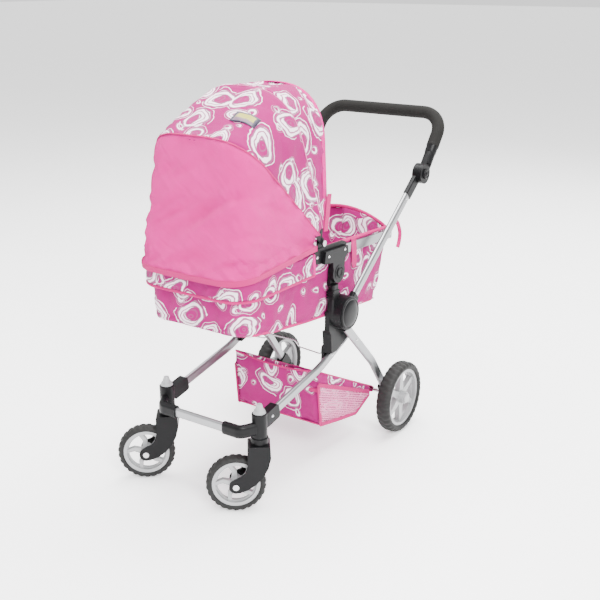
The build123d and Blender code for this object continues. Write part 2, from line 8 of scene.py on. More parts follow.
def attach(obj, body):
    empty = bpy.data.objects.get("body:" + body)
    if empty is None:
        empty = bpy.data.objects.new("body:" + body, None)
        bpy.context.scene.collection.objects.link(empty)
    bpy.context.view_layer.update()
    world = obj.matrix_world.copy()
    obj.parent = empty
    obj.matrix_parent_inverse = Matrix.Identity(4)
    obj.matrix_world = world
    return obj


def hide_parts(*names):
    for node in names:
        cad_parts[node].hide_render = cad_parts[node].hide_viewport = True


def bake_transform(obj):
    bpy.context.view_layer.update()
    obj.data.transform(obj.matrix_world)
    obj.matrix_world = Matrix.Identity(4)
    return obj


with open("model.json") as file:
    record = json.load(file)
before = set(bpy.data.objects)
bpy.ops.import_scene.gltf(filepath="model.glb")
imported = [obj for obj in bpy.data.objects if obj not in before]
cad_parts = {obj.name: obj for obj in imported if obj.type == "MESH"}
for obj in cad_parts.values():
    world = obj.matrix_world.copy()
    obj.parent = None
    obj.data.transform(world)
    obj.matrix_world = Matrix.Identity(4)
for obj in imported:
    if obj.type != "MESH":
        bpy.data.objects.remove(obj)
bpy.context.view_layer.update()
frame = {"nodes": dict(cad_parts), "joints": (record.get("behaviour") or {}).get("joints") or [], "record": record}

scene = bpy.context.scene
print("frame loaded:", len(frame["nodes"]), "nodes")


# Places taken from the frame

def pivotOf(jointName):
    found = [j for j in frame["joints"] if j["name"] == jointName]
    return Vector(found[0]["pos_m"])


hoodPivot = pivotOf("hood_fold")
hubPivot = pivotOf("pusher_fold")
tiltPivot = pivotOf("carrycot_tilt")
kneePivot = pivotOf("handlebar_adjust")
midX = hubPivot.x      # the stroller's middle plane


def at(x, y, z):
    return Vector((midX + x, y, z))


def blendStep(low, high, value):
    t = min(1.0, max(0.0, (value - low) / (high - low)))
    return t * t * (3 - 2 * t)


# Shader maths: a Term wraps one socket, and its operators add Math nodes

class Term:
    def __init__(self, paint, socket):
        self.paint = paint
        self.socket = socket

    def maths(self, operation, first, second=None):
        inputs = {0: first} if second is None else {0: first, 1: second}
        return self.paint.node("Math", {"operation": operation}, inputs)

    def __add__(self, other):
        return self.maths("ADD", self, other)

    def __radd__(self, other):
        return self.maths("ADD", other, self)

    def __sub__(self, other):
        return self.maths("SUBTRACT", self, other)

    def __rsub__(self, other):
        return self.maths("SUBTRACT", other, self)

    def __mul__(self, other):
        return self.maths("MULTIPLY", self, other)

    def __rmul__(self, other):
        return self.maths("MULTIPLY", other, self)

    def __truediv__(self, other):
        return self.maths("DIVIDE", self, other)

    def __pow__(self, other):
        return self.maths("POWER", self, other)

    def __abs__(self):
        return self.maths("ABSOLUTE", self)

    def sine(self):
        return self.maths("SINE", self)

    def root(self):
        return self.maths("SQRT", self)

    def atLeast(self, other):
        return self.maths("MAXIMUM", self, other)

    def cut(self):
        return self.paint.node("Math", {"operation": "MULTIPLY", "use_clamp": True}, {0: self, 1: 1.0})


class Paint:
    def __init__(self, name, **constants):
        self.material = bpy.data.materials.new(name)
        self.material.use_nodes = True
        self.tree = self.material.node_tree
        self.shader = self.tree.nodes["Principled BSDF"]
        for socket, value in constants.items():
            self.shader.inputs[socket.replace("_", " ")].default_value = value

    def node(self, kind, settings=None, inputs=None, output=0):
        made = self.tree.nodes.new("ShaderNode" + kind)
        for key, value in (settings or {}).items():
            if key == "stops":
                ramp = made.color_ramp.elements
                while len(ramp) < len(value):
                    ramp.new(0.5)
                for element, (place, colour) in zip(ramp, value):
                    element.position = place
                    element.color = (*colour, 1)
            else:
                setattr(made, key, value)
        for key, value in (inputs or {}).items():
            self.feed(made.inputs[key], value)
        return Term(self, made.outputs[output])

    def feed(self, socket, value):
        if isinstance(value, Term):
            self.tree.links.new(value.socket, socket)
        elif socket.type == "RGBA" and len(value) == 3:
            socket.default_value = (*value, 1)
        else:
            socket.default_value = value

    def mix(self, factor, first, second):
        return self.node("Mix", {"data_type": "RGBA"}, {0: factor, 6: first, 7: second}, output=2)

    def grain(self, where, scale, detail=2.0, rough=0.5, output=0):
        inputs = {"Vector": where, "Scale": scale, "Detail": detail, "Roughness": rough}
        return self.node("TexNoise", {}, inputs, output)

    def axes(self, vector):
        split = self.node("SeparateXYZ", {}, {0: vector})
        outputs = split.socket.node.outputs
        return [Term(self, outputs[k]) for k in range(3)]

    def stretched(self, vector, x, y, z):
        return self.node("VectorMath", {"operation": "MULTIPLY"}, {0: vector, 1: (x, y, z)})

    def place(self):
        return self.node("TexCoord", output=3)

    def clothPlace(self):
        return self.node("Attribute", {"attribute_name": "cloth"}, output=1)

    def bump(self, height, distance, strength=1.0):
        inputs = {"Height": height, "Distance": distance, "Strength": strength}
        self.feed(self.shader.inputs["Normal"], self.node("Bump", {}, inputs))

    def colour(self, value):
        self.feed(self.shader.inputs["Base Color"], value)

    def roughness(self, value):
        self.feed(self.shader.inputs["Roughness"], value)


# Hard finishes

def satinAluminium():
    p = Paint("satinAluminium", Metallic=1.0)
    where = p.place()
    brushed = p.grain(p.stretched(where, 260, 22, 22), 1.0, 3)
    clouds = p.grain(where, 9, 3)
    p.colour(p.mix(clouds, (0.24, 0.242, 0.25), (0.32, 0.322, 0.33)))
    p.roughness(0.22 + brushed * 0.14 + clouds * 0.06)
    p.bump(brushed, 0.00005, 0.4)
    return p


def mouldedPlastic(name, dark, light, rough, grainSize=900, coat=0.0):
    p = Paint(name, Coat_Weight=coat, Specular_IOR_Level=0.13)
    where = p.place()
    leather = p.grain(where, grainSize, 2)
    clouds = p.grain(where, 14, 4)
    dust = p.grain(where, 55, 6, 0.7)
    p.colour(p.mix(clouds * 0.7 + dust * 0.3, dark, light))
    p.roughness(rough + clouds * 0.10 + dust * 0.08)
    p.bump(leather, 0.00008, 0.45)
    return p


def wheelGrey():
    p = Paint("wheelGrey", Metallic=0.35)
    where = p.place()
    clouds = p.grain(where, 30, 4)
    scuff = p.grain(p.stretched(where, 3, 1, 1), 120, 6, 0.8)
    p.colour(p.mix(clouds, (0.25, 0.253, 0.258), (0.33, 0.333, 0.338)))
    p.roughness(0.30 + scuff * 0.18)
    p.bump(p.grain(where, 700, 2), 0.00006, 0.35)
    return p


def capGrey():
    p = Paint("capGrey", Transmission_Weight=0.35, IOR=1.45)
    where = p.place()
    clouds = p.grain(where, 60, 3)
    p.colour(p.mix(clouds, (0.36, 0.37, 0.38), (0.46, 0.47, 0.48)))
    p.roughness(0.22 + clouds * 0.2)
    p.bump(p.grain(where, 500, 2), 0.00008, 0.4)
    return p


def brightSteel():
    p = Paint("brightSteel", Metallic=1.0)
    where = p.place()
    swirl = p.grain(where, 600, 4)
    p.colour(p.mix(swirl, (0.44, 0.44, 0.45), (0.58, 0.58, 0.59)))
    p.roughness(0.16 + swirl * 0.14)
    p.bump(swirl, 0.00003, 0.4)
    return p


def tyreRubber():
    p = Paint("tyreRubber", Specular_IOR_Level=0.18)
    where = p.place()
    dust = p.grain(where, 70, 6, 0.75)
    clouds = p.grain(where, 18, 3)
    p.colour(p.mix((dust * 0.6 + clouds * 0.4), (0.005, 0.005, 0.005), (0.020, 0.0195, 0.019)))
    p.roughness(0.48 + dust * 0.26)
    p.bump(p.grain(where, 1100, 3), 0.00012, 0.5)
    return p


def gripFoam():
    p = Paint("gripFoam", Specular_IOR_Level=0.1)
    where = p.place()
    inputs = {"Vector": where, "Scale": 750.0, "Randomness": 1.0}
    cells = p.node("TexVoronoi", {"feature": "F1"}, inputs)
    clouds = p.grain(where, 40, 4)
    p.colour(p.mix(cells * 0.5 + clouds * 0.5, (0.004, 0.004, 0.004), (0.016, 0.015, 0.014)))
    p.roughness(0.72 + clouds * 0.2)
    p.bump(cells, 0.0003, 0.7)
    return p


# Cloth finishes. They read the piece's own flat cloth coordinates, in metres

pinks = {
    "plain": ((0.56, 0.002, 0.190), (0.76, 0.006, 0.290)),
    "binding": ((0.42, 0.002, 0.115), (0.50, 0.004, 0.155)),
    "ground": ((0.215, 0.0006, 0.080), (0.29, 0.0015, 0.125)),
    "ink": (0.80, 0.70, 0.76),
    "pencil": (0.16, 0.10, 0.15),
}


def weave(p, where, pitch):
    across, along, _ = p.axes(where)
    turns = 2 * math.pi / pitch
    return (across * turns).sine() * (along * turns).sine()


def plainCloth(name, shades, pitch=0.0011, rough=0.72, creasing=0.0):
    p = Paint(name, Sheen_Weight=0.04, Sheen_Roughness=0.4, Specular_IOR_Level=0.12)
    where = p.clothPlace()
    clouds = p.grain(where, 16, 4)
    slubs = p.grain(p.stretched(where, 1, 14, 1), 120, 3)
    threads = weave(p, where, pitch)
    p.colour(p.mix((clouds * 0.65 + slubs * 0.25 + threads * 0.08).cut(), *shades))
    p.roughness(rough + slubs * 0.14)
    slanted = p.node("VectorRotate", {"rotation_type": "Z_AXIS"}, {"Vector": where, "Angle": 0.6})
    folds = abs(p.grain(p.stretched(slanted, 7, 26, 1), 1.0, 2) - 0.5)
    p.bump(threads * 0.02 + slubs * 0.02 + p.grain(where, 45, 4) * 0.12 + folds * creasing, 0.0210, 0.9)
    return p


printing = {
    "bigCell": 0.071, "bigRadius": (0.0190, 0.0330),
    "smallCell": 0.052, "smallRadius": (0.0060, 0.0120),
    "bigJitter": 0.55, "smallJitter": 0.75, "bigStrokes": 21.0, "smallStrokes": 9.0,
    "smallShift": (0.317, 0.181, 0), "warp": 0.014, "hole": 0.54, "holeShift": 0.22,
    "crisp": 900.0, "loopAt": 1.20, "loopWidth": 0.045, "pencilStrength": 0.62,
}


# One scribbled loop in each cell: its white, its pencil line and the area that it covers
def loopMotifs(p, where, kind):
    radii, strokes = printing[kind + "Radius"], printing[kind + "Strokes"]
    inputs = {"Vector": where, "Scale": 1 / printing[kind + "Cell"], "Randomness": printing[kind + "Jitter"]}
    spots = p.node("TexVoronoi", {"voronoi_dimensions": "2D", "feature": "F1"}, inputs)
    outputs = spots.socket.node.outputs
    away = p.node("VectorMath", {"operation": "SUBTRACT"}, {0: where, 1: Term(p, outputs["Position"])})
    chance = p.axes(Term(p, outputs["Color"]))
    turnInputs = {"Vector": away, "Angle": chance[0] * 6.283}    # a full turn
    turned = p.node("VectorRotate", {"rotation_type": "Z_AXIS"}, turnInputs)
    x, y, _ = p.axes(turned)
    size = chance[1] * (radii[1] - radii[0]) + radii[0]
    squeeze = chance[2] * 0.35 + 0.65
    rough = p.grain(where, 60, 3) - 0.5
    drift = p.grain(where, 23, 2) - 0.5
    outer = ((x / size) ** 2.0 + (y / (size * squeeze)) ** 2.0).root() + rough * 0.32
    holeX = (x - size * printing["holeShift"]) / (size * printing["hole"])
    holeY = y / (size * squeeze * printing["hole"])
    inner = (holeX ** 2.0 + holeY ** 2.0).root() + rough * 0.4
    sharp = size * printing["crisp"]
    disc = ((1.0 - outer) * sharp).cut()
    hole = ((1.0 - inner) * sharp * 0.6).cut()
    gaps = (((outer * strokes + drift * 9.0).sine() - 0.42) * 4.0).cut()
    loop = ((printing["loopWidth"] - abs(outer - printing["loopAt"] - drift * 0.5)) * sharp).cut()
    white = disc * (1.0 - hole) * (1.0 - gaps * 0.9)
    pencil = ((0.050 - abs(outer - 1.03)) * sharp).cut()
    pencil = pencil.atLeast(((0.075 - abs(inner - 0.90)) * sharp * 0.6).cut())
    pencil = pencil.atLeast(gaps * disc * (drift + 0.5))
    return white.atLeast(loop), pencil, disc.atLeast(loop)


def printedCloth():
    p = Paint("printedCloth", Sheen_Weight=0.04, Sheen_Roughness=0.45, Specular_IOR_Level=0.12)
    flat = p.clothPlace()
    wander = p.grain(flat, 20, 1, output=1)
    sway = p.node("VectorMath", {"operation": "SUBTRACT"}, {0: wander, 1: (0.5, 0.5, 0.5)})
    push = printing["warp"] * 2
    where = p.node("VectorMath", {"operation": "ADD"}, {0: flat, 1: p.stretched(sway, push, push, 0)})
    big = loopMotifs(p, where, "big")
    shifted = p.node("VectorMath", {"operation": "ADD"}, {0: where, 1: printing["smallShift"]})
    small = loopMotifs(p, shifted, "small")
    free = 1.0 - big[2]
    ink = big[0].atLeast(small[0] * free)
    lines = big[1].atLeast(small[1] * free)
    clouds = p.grain(flat, 13, 4)
    slubs = p.grain(p.stretched(flat, 1, 14, 1), 110, 3)
    threads = weave(p, flat, 0.0012)
    ground = p.mix((clouds * 0.7 + slubs * 0.22 + threads * 0.06).cut(), *pinks["ground"])
    inked = p.mix(ink * (0.93 + slubs * 0.07), ground, pinks["ink"])
    p.colour(p.mix(lines * printing["pencilStrength"], inked, pinks["pencil"]))
    p.roughness(0.66 + slubs * 0.14 + ink * 0.06)
    folds = abs(p.grain(p.stretched(flat, 12, 24, 1), 1.0, 3) - 0.5)
    p.bump(threads * 0.02 + slubs * 0.02 + p.grain(flat, 48, 4) * 0.15 + folds * 0.9, 0.0080, 0.6)
    return p


def nettingCloth():
    p = Paint("nettingCloth")
    where = p.clothPlace()
    across, along, _ = p.axes(where)
    turns = 2 * math.pi / 0.0054
    first = ((along + across * 0.4) * turns).sine()
    second = ((across - along) * turns * 0.6).sine()
    solid = ((first - 0.1) * 4.0).cut().atLeast(((second - 0.86) * 9.0).cut()) * 0.72 + 0.2
    p.colour(p.mix(p.grain(where, 60, 3), (0.62, 0.12, 0.30), (0.74, 0.26, 0.44)))
    p.roughness(0.6 + p.grain(where, 200, 2) * 0.2)
    p.feed(p.shader.inputs["Alpha"], solid)
    p.bump(first, 0.0003, 0.5)
    return p


def labelCloth():
    p = Paint("labelCloth", Sheen_Weight=0.1)
    where = p.clothPlace()
    across, along, _ = p.axes(where)
    rib = (along * 5200.0).sine()
    patch = p.grain(p.stretched(where, 60, 130, 1), 1.0, 0)
    shade = p.mix(((patch - 0.45) * 12.0).cut(), (0.30, 0.27, 0.015), (0.10, 0.045, 0.085))
    edge = ((abs(across) - 0.0084) * 4000.0).cut().atLeast(((abs(along) - 0.0042) * 4000.0).cut())
    p.colour(p.mix(edge, shade, (0.015, 0.010, 0.03)))
    p.roughness(0.5 + rib * 0.08)
    p.bump(rib, 0.0002, 0.5)
    return p


plastics = {     # dark shade, light shade, roughness
    "black": ((0.0015, 0.0015, 0.002), (0.006, 0.006, 0.0065), 0.28),
    "white": ((0.55, 0.55, 0.55), (0.66, 0.66, 0.66), 0.4),
}
paints = {
    "satin_aluminium": satinAluminium(),
    "black_plastic": mouldedPlastic("blackPlastic", *plastics["black"]),
    "grey_cap_plastic": capGrey(),
    "silver_grey_plastic": wheelGrey(),
    "black_tyre": tyreRubber(),
    "steel": brightSteel(),
    "foam": gripFoam(),
    "pink_print": printedCloth(),
    "pink_plain": plainCloth("plainCloth", pinks["plain"], creasing=1.6),
    "white_plastic": mouldedPlastic("whitePlastic", *plastics["white"]),
}
bindingTape = plainCloth("bindingTape", pinks["binding"], 0.0016, 0.62)
netting = nettingCloth()
labelWeave = labelCloth()
stitchThread = plainCloth("stitchThread", ((0.78, 0.08, 0.34), (0.90, 0.22, 0.50)), 0.0006, 0.5)

for row in frame["record"]["subparts"]:
    mesh = frame["nodes"][row["node"]].data
    mesh.materials.clear()
    mesh.materials.append(paints[row["material_slot"]].material)
print("finishes made:", len(paints) + 4)


# Making and placing pieces

def addPiece(name, points, faces, paint, cloth=None, smooth=True):
    mesh = bpy.data.meshes.new(name)
    mesh.from_pydata([tuple(p) for p in points], [], faces)
    place = mesh.attributes.new("cloth", "FLOAT_VECTOR", "POINT")
    flat = cloth if cloth else [(p[0], p[2], 0.0) for p in points]
    place.data.foreach_set("vector", [v for c in flat for v in (c[0], c[1], 0.0)])
    mesh.materials.append(paint.material)
    mesh.polygons.foreach_set("use_smooth", [smooth] * len(mesh.polygons))
    mesh.update()
    piece = bpy.data.objects.new(name, mesh)
    scene.collection.objects.link(piece)
    return piece


def gridFaces(rows, columns, closed=False):
    faces = []
    for i in range(rows - 1):
        low, high = i * columns, (i + 1) * columns
        for j in range(columns if closed else columns - 1):
            k = (j + 1) % columns
            faces.append((low + j, low + k, high + k, high + j))
    return faces


def clothGrid(name, rows, flat, paint):
    points = [at(*p) for row in rows for p in row]
    coords = [c for row in flat for c in row]
    return addPiece(name, points, gridFaces(len(rows), len(rows[0])), paint, coords)


def thicken(piece, thickness, offset=-1.0, smoothing=0):
    shell = piece.modifiers.new("thickness", "SOLIDIFY")
    shell.thickness, shell.offset = thickness, offset
    if smoothing:
        piece.modifiers.new("smoothing", "SUBSURF").render_levels = smoothing
        piece.modifiers["smoothing"].levels = smoothing
    return piece


# A section carried along a path, upright as up says
def sweep(name, path, section, paint, up=Vector((1, 0, 0)), closed=False, capped=True, flat=None):
    path = [Vector(p) for p in path]
    count, points, coords, run = len(path), [], [], 0.0
    for i, p in enumerate(path):
        before = path[i - 1] if (i or closed) else p
        after = path[(i + 1) % count] if (i < count - 1 or closed) else p
        ahead = (after - before).normalized()
        lift = up[i] if isinstance(up, list) else up
        side = ahead.cross(lift).normalized()
        lift = side.cross(ahead).normalized()
        run += (p - path[i - 1]).length if i else 0.0
        for k, (a, b) in enumerate(section):
            points.append(p + side * a + lift * b)
            coords.append((run, a + b * 0.3))
    width = len(section)
    faces = gridFaces(count + (1 if closed else 0), width, True)
    if closed:
        faces = [tuple(v % (count * width) for v in f) for f in faces]
    elif capped:
        faces += [tuple(range(width)), tuple(range(count * width - 1, (count - 1) * width - 1, -1))]
    return addPiece(name, points, faces, paint, coords)


def roundSection(radius, sides=10, squash=1.0):
    turns = [2 * math.pi * k / sides for k in range(sides)]
    return [(radius * math.cos(t), radius * squash * math.sin(t)) for t in turns]


def tapeSection(width, thickness, crown=0.0):
    steps = [-0.5, -0.44, -0.25, 0.0, 0.25, 0.44, 0.5]
    top = [(s * width, thickness + crown * (1 - 4 * s * s)) for s in steps]
    return top + [(s * width, 0.0) for s in reversed(steps)]


# Rings of (radius, height) about an axis, with flat ends
def lathe(name, profile, centre, axis, paint, turns=40):
    spin = Vector((0, 0, 1)).rotation_difference(Vector(axis))
    points = []
    for radius, height in profile:
        for k in range(turns):
            a = 2 * math.pi * k / turns
            around = Vector((radius * math.cos(a), radius * math.sin(a), height))
            points.append(Vector(centre) + spin @ around)
    faces = gridFaces(len(profile), turns, True)
    faces.append(tuple(range(turns))[::-1])
    faces.append(tuple(range((len(profile) - 1) * turns, len(profile) * turns)))
    return addPiece(name, points, faces, paint)


def resample(points, count):
    points = [Vector(p) for p in points]
    runs = [0.0]
    for a, b in zip(points, points[1:]):
        runs.append(runs[-1] + (b - a).length)
    out, k = [], 0
    for n in range(count):
        want = runs[-1] * n / (count - 1)
        while k < len(points) - 2 and runs[k + 1] < want:
            k += 1
        span = max(runs[k + 1] - runs[k], 1e-9)
        out.append(points[k].lerp(points[k + 1], min(1.0, max(0.0, (want - runs[k]) / span))))
    return out


def ride(piece, body):
    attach(piece, body)
    return piece


def settle(piece, held, steps=22, grow=0.02, push=0.3, gravity=0.15, bend=0.06, cap=0.010):
    pins = piece.vertex_groups.new(name="held")
    pins.add(held, 1.0, "REPLACE")
    before = [v.co.copy() for v in piece.data.vertices]
    cloth = piece.modifiers.new("cloth", "CLOTH")
    made = cloth.settings
    made.quality, made.mass = 5, 0.12
    made.tension_stiffness = made.compression_stiffness = 25
    made.shear_stiffness, made.bending_stiffness = 12, bend
    made.vertex_group_mass = "held"
    made.shrink_min = -grow
    made.use_pressure, made.uniform_pressure_force = True, push
    made.effector_weights.gravity = gravity
    cloth.collision_settings.use_collision = False
    cloth.point_cache.frame_start, cloth.point_cache.frame_end = 1, steps
    for step in range(1, steps + 1):
        scene.frame_set(step)
    seen = piece.evaluated_get(bpy.context.evaluated_depsgraph_get())
    after = [v.co.copy() for v in seen.data.vertices]
    piece.modifiers.remove(cloth)
    for v, old, new in zip(piece.data.vertices, before, after):
        moved = new - old
        if moved.length > cap:
            moved *= cap / moved.length
        v.co = old + moved
    scene.frame_set(1)
    piece.vertex_groups.clear()
    piece.data.update()
    return piece


def flatArea(piece):
    return sum(polygon.area for polygon in piece.data.polygons)


def declareSheet(piece, flat, area):
    print("sheet", piece.name, [round(v, 3) for v in flat], "area", round(area or flat[0] * flat[1], 4))


# Hood: sections in planes through the hood axis, each a leg, a round corner and a crowned top

hood = {
    "bows": ((134.6, 0.3140, 0.1350, 0.018, 0.084), (105.0, 0.3070, 0.1325, 0.021, 0.096),
             (84.0, 0.2950, 0.1295, 0.022, 0.100)),   # angle, reach, half width, lean, corner
    "hem": (185.0, 0.2600, 0.1340, 0.003, 0.060),
    "shoulders": ((146.0, 0.2860, 0.1345, 0.014, 0.078), (159.0, 0.2640, 0.1345, 0.010, 0.074),
                  (172.0, 0.2575, 0.1342, 0.006, 0.068)),
    "foot": 0.030, "knee": 0.085, "legColumns": 16, "cornerColumns": 12, "topColumns": 10,
    "crown": 0.004, "footFlare": 0.0026,
}


def hoodSection(reach, half, lean, corner, foot):
    shoulder = Vector((half - lean, reach))
    kneeAt = Vector((half, hood["knee"]))
    down = (kneeAt - shoulder).normalized()
    legTop, topEdge = shoulder + down * corner, shoulder - Vector((corner, 0))
    right = []
    n = hood["legColumns"]
    for k in range(n):
        r = foot + (legTop.y - foot) * k / n
        x = half if r < kneeAt.y else half + (legTop.x - half) * (r - kneeAt.y) / (legTop.y - kneeAt.y)
        right.append((x + hood["footFlare"] * (1 - blendStep(0.03, 0.09, r)), r))
    n = hood["cornerColumns"]
    for k in range(n):
        t = k / n
        p = legTop * (1 - t) ** 2 + shoulder * 2 * t * (1 - t) + topEdge * t * t
        right.append((p.x, p.y))
    n = hood["topColumns"]
    for k in range(n + 1):
        right.append((topEdge.x * (1 - k / n), reach))
    left = [(-x, r) for x, r in right[-2::-1]]
    wide = half - lean
    section = []
    for x, r in right + left:
        lift = hood["crown"] * max(0.0, 1 - (x / wide) ** 2) * blendStep(0.1, reach, r)
        section.append((x, r + lift))
    return section


def hoodPoint(angle, x, r):
    a = math.radians(angle)
    return (x, hoodPivot.y + r * math.cos(a), hoodPivot.z + r * math.sin(a))


domes = {
    "foot": 0.034, "thickness": 0.0010,
    "settle": {"steps": 22, "grow": 0.014, "push": 0.1, "gravity": 0.15, "bend": 0.06},
    "middle": {"rows": 20, "sag": 0.005, "shift": (0, 0), "crumple": (0.0016, 19, 8.4), "cap": 0.006},
    "rear": {"rows": 15, "sag": 0.004, "shift": (0.4, 0.2), "crumple": (0.0012, 21, 5.7), "cap": 0.005},
}


def hoodPanel(name, first, last, made):
    rows, sag, foot, shift = made["rows"], made["sag"], domes["foot"], made["shift"]
    angles = [first[0] + (last[0] - first[0]) * k / (rows - 1) for k in range(rows)]
    middle = (first[0] + last[0]) / 2
    grid, flat = [], []
    for k, angle in enumerate(angles):
        t = k / (rows - 1)
        reach, half, lean, corner = [a + (b - a) * t for a, b in zip(first[1:], last[1:])]
        dip = sag * math.sin(math.pi * t)
        section = hoodSection(reach - dip, half - dip * 0.25, lean, corner, foot)
        row, coords, run = [], [], 0.0
        for j, (x, r) in enumerate(section):
            run += math.hypot(x - section[j - 1][0], r - section[j - 1][1]) if j else 0.0
            row.append(hoodPoint(angle, x, r))
            coords.append((run + shift[0], math.radians(angle - middle) * r + shift[1]))
        grid.append(row)
        flat.append(coords)
    return clothGrid(name, grid, flat, paints["pink_print"])


def edgeRows(rows, columns, ends=0):
    held = list(range(columns)) + list(range((rows - 1) * columns, rows * columns))
    for i in range(rows):
        held += [i * columns + k for k in range(ends)]
        held += [i * columns + columns - 1 - k for k in range(ends)]
    return held


creaseShape = {"fade": 0.22, "coarse": (4, 19, 4), "fine": (8, 38, 7), "depth": 1.1}


# Slanting folds that die out at the first and last rows
def crease(piece, rows, amount, seed):
    mesh = piece.data
    columns = len(mesh.vertices) // rows
    normals = [v.normal.copy() for v in mesh.vertices]
    for k, (v, normal) in enumerate(zip(mesh.vertices, normals)):
        edge = min(k // columns, rows - 1 - k // columns) / (rows * creaseShape["fade"])
        x, y, z = v.co
        run, across = x * 0.8 + z * 0.45 - y * 0.3, z * 0.85 - x * 0.5 + y * 0.4
        a, b, c = creaseShape["coarse"]
        first = noise.noise(Vector((run * a + seed, across * b, y * c)))
        a, b, c = creaseShape["fine"]
        second = noise.noise(Vector((run * a - seed, across * b, y * c)))
        folds = abs(first) * creaseShape["depth"] + abs(second) * creaseShape["depth"]
        v.co -= normal * folds * amount * blendStep(0, 1, edge)
    mesh.update()


def crumple(piece, amount, size, seed):
    mesh = piece.data
    normals = [v.normal.copy() for v in mesh.vertices]
    for v, normal in zip(mesh.vertices, normals):
        spot = (v.co + Vector((seed, 0, 0))) * size
        height = noise.noise(spot) * 0.6 + noise.noise(spot * 2.3) * 0.3 + noise.noise(spot * 5.1) * 0.1
        v.co += normal * height * amount
    mesh.update()


bowFront, bowMiddle, bowRear = hood["bows"]
hem = hood["hem"]
frontStations = (bowFront, *hood["shoulders"], hem)


def frontStation(angle):
    for a, b in zip(frontStations, frontStations[1:]):
        if angle <= b[0]:
            t = (angle - a[0]) / (b[0] - a[0])
            return [p + (q - p) * t for p, q in zip(a[1:], b[1:])]
    return list(hem[1:])


frontCloth = {
    "rows": 46, "middle": 160, "thickness": 0.0010, "crumple": (0.0014, 17, 3.1), "crease": (0.0130, 2.7),
    "settle": {"steps": 22, "grow": 0.020, "push": 0.05, "gravity": 0.1, "bend": 0.05, "cap": 0.0050},
}


def hoodFront():
    rows, grid, flat = frontCloth["rows"], [], []
    for k in range(rows):
        angle = bowFront[0] + (hem[0] - bowFront[0]) * k / (rows - 1)
        section = hoodSection(*frontStation(angle), hood["foot"])
        grid.append([hoodPoint(angle, x, r) for x, r in section])
        run, coords = 0.0, []
        for j, (x, r) in enumerate(section):
            run += math.hypot(x - section[j - 1][0], r - section[j - 1][1]) if j else 0.0
            coords.append((run, math.radians(angle - frontCloth["middle"]) * r))
        flat.append(coords)
    piece = clothGrid("hood_front_panel", grid, flat, paints["pink_plain"])
    columns = len(grid[0])
    area = flatArea(piece)
    crumple(piece, *frontCloth["crumple"])
    crease(piece, rows, *frontCloth["crease"])
    settle(piece, edgeRows(rows, columns, 2), **frontCloth["settle"])
    return piece, columns, area


frontPanel, hoodColumns, frontArea = hoodFront()
thicken(frontPanel, frontCloth["thickness"])
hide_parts("hood_panel_front")


def alongBow(angle, reach, half, lean, corner, foot, proud=0.0):
    section = hoodSection(reach, half, lean, corner, foot)
    line = [Vector(at(*hoodPoint(angle, x, r))) for x, r in section]
    ups = []
    for k, (x, r) in enumerate(section):
        before, after = section[max(k - 1, 0)], section[min(k + 1, len(section) - 1)]
        out = Vector((-(after[1] - before[1]), 0, after[0] - before[0])).normalized()
        a = math.radians(angle)
        direction = Vector((-out.x, -out.z * math.cos(a), -out.z * math.sin(a)))
        ups.append(direction)
    return [p + up * proud for p, up in zip(line, ups)], ups


def bandAlong(name, angle, bow, width, thickness, paint, foot, proud, crown=0.0):
    line, ups = alongBow(angle, *bow[1:], foot, proud)
    return sweep(name, line, tapeSection(width, thickness, crown), paint, ups)


blendReach = {"front": 0.13, "dome": 0.24}


def hoodBlend(piece, a, b, fromAngle, toAngle, reach):
    start = at(*hoodPoint(fromAngle, 0, reach))
    end = at(*hoodPoint(toAngle, 0, reach))
    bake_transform(piece)


hoodBlend(frontPanel, "carrycot", "hood_front", hem[0], bowFront[0], blendReach["front"])


def hoodDome(which, first, last, bodies):
    made = domes[which]
    piece = hoodPanel(f"hood_dome_{which}", first, last, made)
    area = flatArea(piece)
    crumple(piece, *made["crumple"])
    settle(piece, edgeRows(made["rows"], hoodColumns, 2), cap=made["cap"], **domes["settle"])
    thicken(piece, domes["thickness"])
    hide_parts(f"hood_panel_{which}")
    hoodBlend(piece, *bodies, first[0], last[0], blendReach["dome"])
    return piece, area


domeMiddle, middleArea = hoodDome("middle", bowFront, bowMiddle, ("hood_front", "hood_middle"))
domeRear, rearArea = hoodDome("rear", bowMiddle, bowRear, ("hood_middle", "hood_rear"))
hoodBows = {"inset": 0.0080, "foot": 0.001, "width": 0.0100, "thickness": 0.0020}


def hoodBow(name, bow, body):
    inner = (bow[1] - hoodBows["inset"], bow[2] - hoodBows["inset"], *bow[3:])
    line, ups = alongBow(bow[0], *inner, hoodBows["foot"])
    section = tapeSection(hoodBows["width"], hoodBows["thickness"])
    strip = sweep(name, line, section, paints["black_plastic"], ups)
    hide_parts(name.replace("sleeve", "bow"))
    return ride(strip, body)


hoodBow("hood_sleeve_front", bowFront, "hood_front")
hoodBow("hood_sleeve_middle", bowMiddle, "hood_middle")
hoodBow("hood_sleeve_rear", bowRear, "hood_rear")

hoodTapes = {     # width, thickness, foot, stand off the cloth, crown
    "hood_edge_binding": (0.012, 0.0016, 0.03, 0.0004, 0.0006),
    "hood_front_seam": (0.0030, 0.0010, 0.03, 0.0004, 0.0004),
    "hood_middle_seam": (0.0022, 0.0008, 0.034, 0.0003, 0.0003),
    "hood_hem_band": (0.011, 0.0014, 0.03, 0.0004, 0.0004),
}


def hoodTape(name, angle, bow, paint, body):
    width, thickness, foot, proud, crown = hoodTapes[name]
    return ride(bandAlong(name, angle, bow, width, thickness, paint, foot, proud, crown), body)


